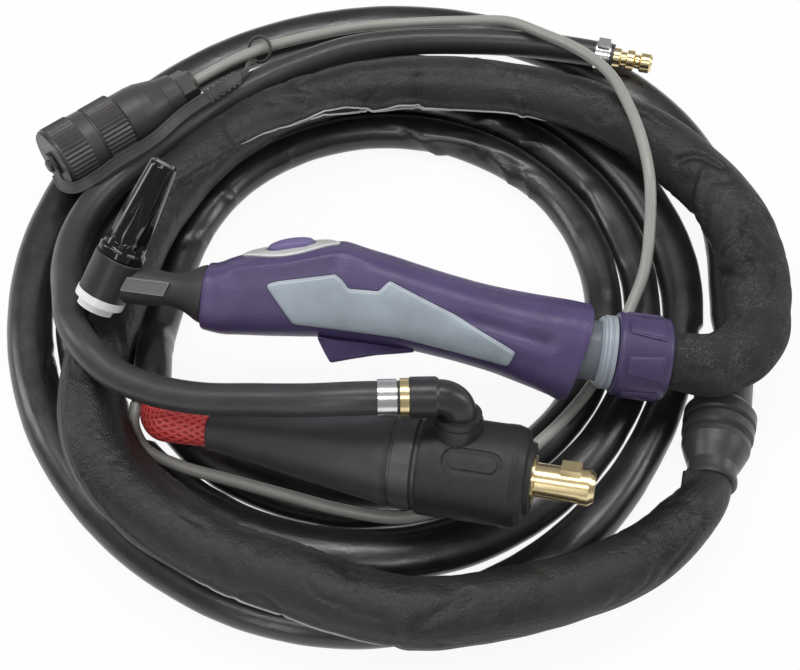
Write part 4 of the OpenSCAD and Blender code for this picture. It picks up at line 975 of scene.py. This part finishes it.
def crease(x, t):
    """How far the surface stands proud: a long valley at the rear, an edge below the bezel."""
    low = np.interp(x, *zip(*VALLEY))
    deep = eased((x - 84) / 18) * (1 - eased((x - 125) / 7))
    d = t - low
    out = -1.15 * deep * (bell(d, 1.5) if d < 0 else bell(d, 3.4))
    out += 0.5 * deep * bell(d + 4, 3)
    edge = np.interp(x, *zip(*SHOULDER))
    strong = eased((x - 5) / 8) * (1 - eased((x - 50) / 14))
    d = t - edge
    out += 0.55 * strong * bell(d, 1.3) - 0.4 * strong * bell(d + 4.2, 2.4)
    return float(out)


# About how far the surface lies from the axis, and how deep the seam of the shells is
REACH, SEAM = 14, 0.22


def handle_ring(x, inset_by, angles):
    """The handle's outline at x, drawn in by inset_by."""
    mid, h, w, top, share = section(x)
    h, w = h - inset_by, w - inset_by
    ring = []
    for a in angles:
        c, s = math.cos(a), math.sin(a)
        t = math.copysign(abs(s) ** (2 / SQUARE), s) if abs(s) > 1e-9 else 0
        z = math.copysign(abs(c) ** (2 / SQUARE), c) if abs(c) > 1e-9 else 0
        part = min(1, abs(z) * 3)
        seam = SEAM if abs(c) < 0.002 else 0
        k = 1 + (crease(x, mid + h * t) * (1 - inset_by / 1.4) * part - seam) / REACH
        ring.append((NECK_LEN + x + share * LEAN * (mid + h * t - top), mid + h * t * k,
                     w * z * k))
    return ring


def hole_ring(ring, r, at):
    """A circle with a point for each of the ring's. Its place is along the handle, up, and
    whether it leans as the rear does."""
    out = []
    for _, t, z in ring:
        a = math.atan2(t - at[1], z)
        q = at[1] + r * math.sin(a)
        out.append((at[0] + at[2] * LEAN * (q - STATIONS[-1, 1]), q, r * math.cos(a)))
    return out


def side_z(x, t):
    """How far out the side is at a place along and up."""
    mid, h, half, _, _ = section(x)
    z = half * max(0.0, 1 - (abs(t - mid) / h) ** SQUARE) ** (1 / SQUARE)
    return z + crease(x, t) * z / REACH


def top_t(x, z):
    """How high the top is at a place along and across."""
    mid, h, half, _, _ = section(x)
    return mid + h * max(0.0, 1 - (abs(z) / half) ** SQUARE) ** (1 / SQUARE)


def on_side(side):
    """The place h out from one side of the handle, as a plate asks for it."""
    def place(x, t, h):
        z = side_z(x, t)
        n = Vector((-(side_z(x + 0.2, t) - z) / 0.2, -(side_z(x, t + 0.2) - z) / 0.2, 1))
        p = Vector((NECK_LEN + x, t, z)) + n.normalized() * h
        return TORCH @ Vector((p.x, p.y, side * p.z))
    return place


def on_top(x, z, h):
    """The place h up from the top of the handle."""
    t = top_t(x, z)
    n = Vector((-(top_t(x + 0.2, z) - t) / 0.2, 1, -(top_t(x, z + 0.2) - t) / 0.2))
    return TORCH @ (Vector((NECK_LEN + x, t, z)) + n.normalized() * h)


# The button's own axes: along the slope of the bezel, across it, and out of it
BUTTON_X = 29.5
BUTTON_SLOPE = math.atan((top_t(BUTTON_X + 8, 0) - top_t(BUTTON_X - 8, 0)) / 16)
BUTTON_T = np.interp(BUTTON_X, STATIONS[:, 0], STATIONS[:, 1])
BUTTON = (TORCH @ Matrix.Translation((NECK_LEN + BUTTON_X, BUTTON_T, 0))
          @ Matrix.Rotation(BUTTON_SLOPE, 4, "Z") @ Matrix.Rotation(math.radians(-90), 4, "X"))


def in_button(u, v, h):
    return BUTTON @ Vector((u, v, h))


INLAY = rounded([(22.5 + x, y) for x, y in (
    (0, 9.9), (4.5, 11.7), (24.2, 17), (26.8, 15.5), (29.5, 12.6), (40.2, 13), (43.5, 17.2),
    (47, 15.8), (67.9, 8.4), (91.4, -1.9), (89.5, -8), (49.7, -3.3), (11.4, -3.3))], 1.5)
# Half the bezel's length and width, and the radius of its long sides
HALF_L, HALF_W = 17.5, 8.7
ARC = (HALF_L ** 2 + HALF_W ** 2) / 2 / HALF_W
BEZEL = rounded([(BUTTON_X + side * HALF_L * k / 12,
                  side * (math.sqrt(ARC ** 2 - (HALF_L * k / 12) ** 2) - ARC + HALF_W))
                 for side in (1, -1) for k in range(12, -12, -1)], 1.2)
ANGLES = sorted({math.radians(a) for a in np.arange(-180, 180, 2.5)}
                | {math.radians(q + d) for q in (-90, 90) for d in (-0.9, -0.3, 0.3, 0.9)})
NECK_BORE_R, BALL_BORE_R = 8.4, 13.2
FRONT = handle_ring(0, 1.4, ANGLES)
REAR = handle_ring(HANDLE_LEN, 1.3, ANGLES)
rings = [hole_ring(FRONT, NECK_BORE_R, (NECK_LEN + 8, 0, 0)),
         hole_ring(FRONT, NECK_BORE_R, (NECK_LEN, 0, 0)), FRONT]
rings += [handle_ring(x, d, ANGLES) for x, d in ((0.12, 0.85), (0.4, 0.42), (0.85, 0.12))]
rings += [handle_ring(x, 0, ANGLES) for x in np.arange(1.5, HANDLE_LEN - 1.5, 1.0)]
rings += [handle_ring(HANDLE_LEN - back, d, ANGLES)
          for back, d in ((1.3, 0), (0.8, 0.15), (0.35, 0.45), (0.1, 0.85))]
rings += [REAR, [(x - 0.9, t * 0.94 - 0.15, z * 0.94) for x, t, z in REAR],
          hole_ring(REAR, BALL_BORE_R + 0.3, (TAIL_X - 0.9, TAIL_T, 1)),
          hole_ring(REAR, BALL_BORE_R, (TAIL_X - 1.4, TAIL_T, 1)),
          hole_ring(REAR, BALL_BORE_R, (BALL_X - 3, TAIL_T, 0))]
handle = lofted("handle_moulding", rings, TORCH, "purple", sharp=30)


def hollow(outline, foot, top, place, grid=2.0):
    return plate("cutter", outline, [(0, foot), (0, top)], place, "purple", grid=grid)


def in_torch(x, t, z):
    return TORCH @ Vector((x, t, z))


# Recesses for the inlays and the bezel, the screws' holes, then the button's pocket
SCREWS, SCREW_HOLE_R = ((14.5, -7.5), (60, 18), (114, -10)), 2.95
cutters = [hollow(inset(anticlockwise(INLAY), -0.22), -0.95, 4, on_side(side)) for side in (1, -1)]
cutters.append(hollow(inset(anticlockwise(BEZEL), -0.2), -1.25, 5, on_top, 1.5))
for x, t in SCREWS:
    circle = [(NECK_LEN + x + SCREW_HOLE_R * math.cos(a), t + SCREW_HOLE_R * math.sin(a))
              for a in np.arange(0, 2 * math.pi, math.pi / 18)]
    cutters.append(hollow(circle, -30, -6.6, in_torch))
cut(handle, joined(cutters))
cut(handle, hollow(pill(19, 11.6), -7.0, 5, in_button))
shaded(handle.data)
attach(handle, "handle")
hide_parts("handle_shell_left", "handle_shell_right")

# The finger stop, moulded with the shells, as (place, top, half width, foot): flat front,
# drawn-in sides, and a round of 1.1 along its lower edges
STOP = ((43.2, -7, 10.6, -8.4), (44.6, -7.2, 10.9, -10.6), (46.6, -7.4, 11.1, -13.6),
        (48.5, -7.5, 11.2, -16.2), (49.4, -7.5, 11.2, -16.35), (56, -7.4, 11, -14.2),
        (65, -7.4, 10.4, -11.6), (74, -7.6, 9.6, -9.9), (78, -8, 8.6, -9.2))
rings = []
for x, high, half, low in STOP:
    ring = [(NECK_LEN + x, high, half + 1), (NECK_LEN + x, low + 2.2, half)]
    ring += [(NECK_LEN + x, low + 1.1 - 1.1 * math.sin(a), half - 1.1 + 1.1 * math.cos(a))
             for a in np.radians((0, 25, 50, 75, 90))]
    ring += [(x_, y_, -z_) for x_, y_, z_ in reversed(ring)]
    rings.append(ring)
stop = lofted("finger_stop", rings, TORCH, "purple", "handle", 35)

for side, word in ((1, "left"), (-1, "right")):
    # The inlay's rounded edges take its lighter second look, a painted highlight
    panel = plate("grip_inlay_" + word, INLAY,
                  [(0.1, -0.9), (0, -0.5), (0, -0.02), (0.2, 0.16), (0.85, 0.4), (1.12, 0.5),
                   (1.25, 0.52)], on_side(side), ["inlay", "inlay_highlight"], "handle",
                  bands=[0, 0, 1, 0, 1, 0], grid=1.6, sharp=50)
    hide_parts("side_inlay_" + word)

# The bezel's rounded top edge takes its lighter second look, a painted highlight
bezel = plate("button_surround", BEZEL,
              [(0, -1.2), (0, 0.35), (0.12, 0.6), (0.4, 0.78), (0.8, 0.8)], on_top,
              ["bezel", "bezel_highlight"], "handle", bands=[0, 1, 1, 0],
              hole=pill(17.6, 10.2) + (BUTTON_X, 0),
              hole_profile=[(0, -1.2), (0, 0.5), (0.1, 0.68), (0.35, 0.79)], grid=1.2)
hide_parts("button_bezel")

CAP_TOP, CROWN_R = 2.8, 30


def button_crown(u, v):
    """The button's top: round along its length, slightly round across."""
    return CAP_TOP - (CROWN_R - math.sqrt(CROWN_R ** 2 - u * u)) - 0.012 * v * v


button = plate("trigger_cap", pill(17, 9.6),
               [(0, -4.8), (0, -1.0), (0.1, -0.55), (0.32, -0.25), (0.7, -0.07), (1.3, 0)],
               in_button, "purple_button", "trigger_button", grid=0.9, top=button_crown)
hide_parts("trigger_button")

# ---- Knuckle's nut ----

NUT_R, PADS = 15.1, 6
# The nut and its pads take the darker purple, a painted shade
nut_parts = [revolve("nut_moulding", [
    (35, 9.6), (18, 11.1), (18, 14.0), (18.15, 14.5), (18.5, 15.0), (19.1, 15.3), (20.0, 15.35),
    (20.6, 15.2), (21.0, NUT_R), (36.2, NUT_R), (36.8, 14.9), (37.4, 14.4), (37.8, 13.8),
    (38, 13.1), (38, 9.7), (35, 9.6)], KNUCKLE, "nut", None)]
for k in range(PADS):
    def on_nut(u, v, h, turn=math.radians(360 / PADS * k + 90)):
        a = v / NUT_R + turn
        return KNUCKLE @ Vector((28 + u, (NUT_R + h) * math.cos(a), (NUT_R + h) * math.sin(a)))
    nut_parts.append(plate("pad", rounded([(-6.6, -3.7), (7, -5.3), (7, 5.3), (-6.6, 3.7)], 1.2),
                           [(0, -0.4), (0, 0.3), (0.12, 0.5), (0.55, 0.5), (0.7, 0.62),
                            (1.0, 0.82), (1.4, 0.85)], on_nut, "nut", grid=1.2))
nut = joined(nut_parts)
shaded(nut.data)
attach(nut, "cover_nut")
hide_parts("cover_nut")

# ---- Neck, its plate and the head's back cap ----

# Place along the neck and its radius there
NECK = np.array([(2, 7), (13, 7.02), (16.5, 6.8), (20, 6.35), (23.5, 6.2), (26, 6.55),
                 (28.5, 7.4), (31, 8.7), (33, 9.95), (34.4, 10.55), (35.1, 10.75)])


def neck_shape(x, a, r):
    seam = bell((math.degrees(a) + 90) % 180 - 90, 1.6) * 0.12
    return r + seam + 0.05 * noise.noise(Vector((x / 3, 2 * math.cos(a), 2 * math.sin(a))))


neck_profile = [(x, float(monotone(NECK[:, 0], NECK[:, 1], x))) for x in np.arange(2, 35.1, 0.5)]
neck = revolve("neck_cover", neck_profile + [(35.35, 10.6), (35.42, 10.3), (35.42, 8.35),
                                             (44, 8.3)],
               TORCH, "neck", None, sides=120, shape=neck_shape)
BEND_FROM, BEND_TO = (tuple(TORCH @ Vector((x, 0, 0))) for x in (9.5, 34))
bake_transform(neck)
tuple(BEND_FROM)
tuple(BEND_TO)
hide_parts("neck")

# The copper tube inside it
PIPE_R, PIPE_BORE_R, PIPE_FROM, PIPE_TO = 3.5, 2.5, 6, NECK_LEN + 10
pipe_places = np.linspace(PIPE_FROM, PIPE_TO, 28)
pipe = revolve("neck_pipe", [(x, PIPE_R) for x in pipe_places]
               + [(x, PIPE_BORE_R) for x in pipe_places[::-1]] + [(PIPE_FROM, PIPE_R)],
               TORCH, "copper", None, sides=40)
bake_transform(pipe)
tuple(BEND_FROM)
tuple(BEND_TO)
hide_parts("neck_tube")

# The plate's rounded edge takes its lighter second look, a painted highlight
name_plate = plate("bare_plate",
                   rounded([(6, -1), (21.5, -1), (23.4, 4.2), (7.9, 4.2)], 0.35, 0.25),
                   [(0, -2.2), (0, -0.16), (0.1, 0), (0.34, 0.02), (0.46, -0.14)],
                   lambda u, v, h: TORCH @ Vector((u, v, 7.5 + h)), ["plate", "plate_highlight"],
                   "head", bands=[0, 1, 1, 0], grid=0.8)
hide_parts("neck_plate")

# Where the cap begins, where its first flute faces, and where its flutes begin on it
CAP_FROM, FACING, FLUTE_FROM = 10.8, math.radians(82), 4.6
FLUTES, FLUTE_LEN, FLUTE_HALF_W, FLUTE_DEEP = 6, 20, 4.15, 1.9


def cap_shape(x, a, r):
    """Flutes with a round start, which narrow and get shallower towards the cap's end."""
    along = (x - CAP_FROM - FLUTE_FROM) / FLUTE_LEN
    if not 0 < along < 1:
        return r
    wide = FLUTE_HALF_W * math.sqrt(1 - (1 - min(1, along / 0.2)) ** 2) * (
        1 - max(0, (along - 0.2) / 0.8) ** 1.25)
    half = math.pi / FLUTES
    off = abs((a - FACING + half) % (2 * half) - half) * r
    if off >= wide:
        return r
    deep = FLUTE_DEEP * (1 - along * 0.5) * min(1, wide / 2.2)
    return r - deep * (1 - (off / wide) ** 2)


cap = revolve("cap_moulding", [
    (4.6, 0.01), (4.6, 4.4), (CAP_FROM, 4.4), (CAP_FROM, 8.3), (CAP_FROM + 0.12, 8.55),
    (CAP_FROM + 0.4, 8.7), (CAP_FROM + 2.6, 8.7), (CAP_FROM + 3.1, 8.5), (CAP_FROM + 3.5, 8.1),
    (CAP_FROM + 3.9, 7.86), (CAP_FROM + 36.6, 5.15), (CAP_FROM + 37.3, 4.95),
    (CAP_FROM + 37.8, 4.5), (CAP_FROM + 38, 3.9), (CAP_FROM + 37.9, 3.5),
    (CAP_FROM + 37.7, 3.2), (CAP_FROM + 37.7, 0.01)], HEAD_AXIS, "gloss", "back_cap", sides=288,
    shape=cap_shape, step=0.25, sharp=24)
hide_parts("back_cap")

# ---- Dust cap's strap ----

STRAP_ROUTE = [
    (-138.8, 40.5, 29), (-135, 33.5, 30), (-129, 30, 32.5), (-121, 32, 36), (-111, 40, 38),
    (-99, 50, 38.5), (-88, 64, 38.5), (-78, 74, 38.5), (-70, 82, 38), (-64, 90, 36),
    (-63.5, 99, 31.5), (-61.9, 108.8, 22.9)]


# Half the strap's thickness and its lean; then how far before its ring end its narrow tail
# and its teeth begin, and how far apart the teeth are
STRAP_HALF_H, STRAP_LEAN, TAIL, LADDER, TOOTH = 0.75, math.radians(50), 27, 46, 3.1


def strap_band():
    """A band with raised rims, then a toothed length, then a narrow tail."""
    points, at = smooth_route(STRAP_ROUTE, 0.4)
    t, u, _ = route_frames(points)
    wide = math.sin(STRAP_LEAN) * np.array([0, 0, 1.0]) - math.cos(STRAP_LEAN) * u
    wide = unit(wide - (wide * t).sum(axis=1)[:, None] * t)
    out = np.cross(t, wide)
    tail, ladder = at[-1] - TAIL, at[-1] - LADDER
    rings = []
    for i, s in enumerate(at):
        half = 2.25 - 1.35 * eased((s - tail + 4) / 6)
        rim = 0.32 if s < tail else 0.0
        if ladder < s < tail:
            half += 0.75 * (1 if ((s - ladder) / TOOTH) % 1 < 0.5 else 0)
            rim = -0.35
        rings.append([points[i] + wide[i] * half * a + out[i] * STRAP_HALF_H * b
                      for a, b in ((-1, -1), (1, -1), (1, 1), (0.72, 1), (0.62, 1 - rim),
                                   (-0.62, 1 - rim), (-0.72, 1), (-1, 1))])
    return lofted("strap_moulding", rings, COIL_FRAME, "plug")


def strap_ring(matrix, radius, wire, turns=48, sides=16):
    rings = []
    for k in range(turns):
        a = 2 * math.pi * k / turns
        rings.append([((radius + wire * math.cos(b)) * math.cos(a),
                       (radius + wire * math.cos(b)) * math.sin(a), wire * math.sin(b))
                      for b in np.arange(0, 2 * math.pi, 2 * math.pi / sides)])
    return lofted("ring", rings, matrix, "plug", endless=True)


strap = joined([
    strap_band(),
    strap_ring(placed((-60, 111.7, 27), turned(0, 51.5, -123.7)), 5.5, 0.7),
    revolve("eye", [(-1.9, 2.0), (-1.9, 5.0), (-1.6, 5.3), (-0.6, 5.3), (-0.3, 5.0), (-0.25, 2.0),
                    (-1.9, 2.0)], PLUG, "plug", None, sides=64)])
settle(strap, 35)
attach(strap, "lead")
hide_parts("dust_cap_strap")

# ---- Floor ----

# Half the floor's width in metres, and how much of its white is its own light
FLOOR_HALF, GLOW_SHARE = 3, 0.92


def white_stage(name):
    """White to the camera and to what mirrors it; a pale floor with shadows otherwise."""
    look = Look(name, Base_Color=(0.9, 0.9, 0.9, 1), Roughness=0.9)
    ray = look.node("LightPath").outputs
    seen = look.maths("MAXIMUM", ray["Is Camera Ray"], ray["Is Glossy Ray"])
    seen = look.maths("MAXIMUM", seen, ray["Is Transmission Ray"])
    glow = look.node("Emission", {"Strength": 1})
    mix = look.node("MixShader", {0: look.times(seen, GLOW_SHARE), 1: look.shader.outputs[0],
                                  2: glow.outputs[0]})
    surface = look.tree.nodes["Material Output"].inputs["Surface"]
    look.tree.links.new(mix.outputs[0], surface)
    return look.mat


floor_mesh = bpy.data.meshes.new("floor")
floor_mesh.from_pydata([(x * FLOOR_HALF, y * FLOOR_HALF, 0)
                        for x, y in ((-1, -1), (1, -1), (1, 1), (-1, 1))], [], [(0, 1, 2, 3)])
floor_mesh.materials.append(white_stage("floor_white"))
floor = added("floor", floor_mesh)
floor.location.z = (FLOOR_Z - HEAD_AT.z) * MM
floor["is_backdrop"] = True

# ---- Sizes, then the end ----

low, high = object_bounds()
{"cad": [list(cad_low), list(cad_high)], "shown": [list(low), list(high)]}
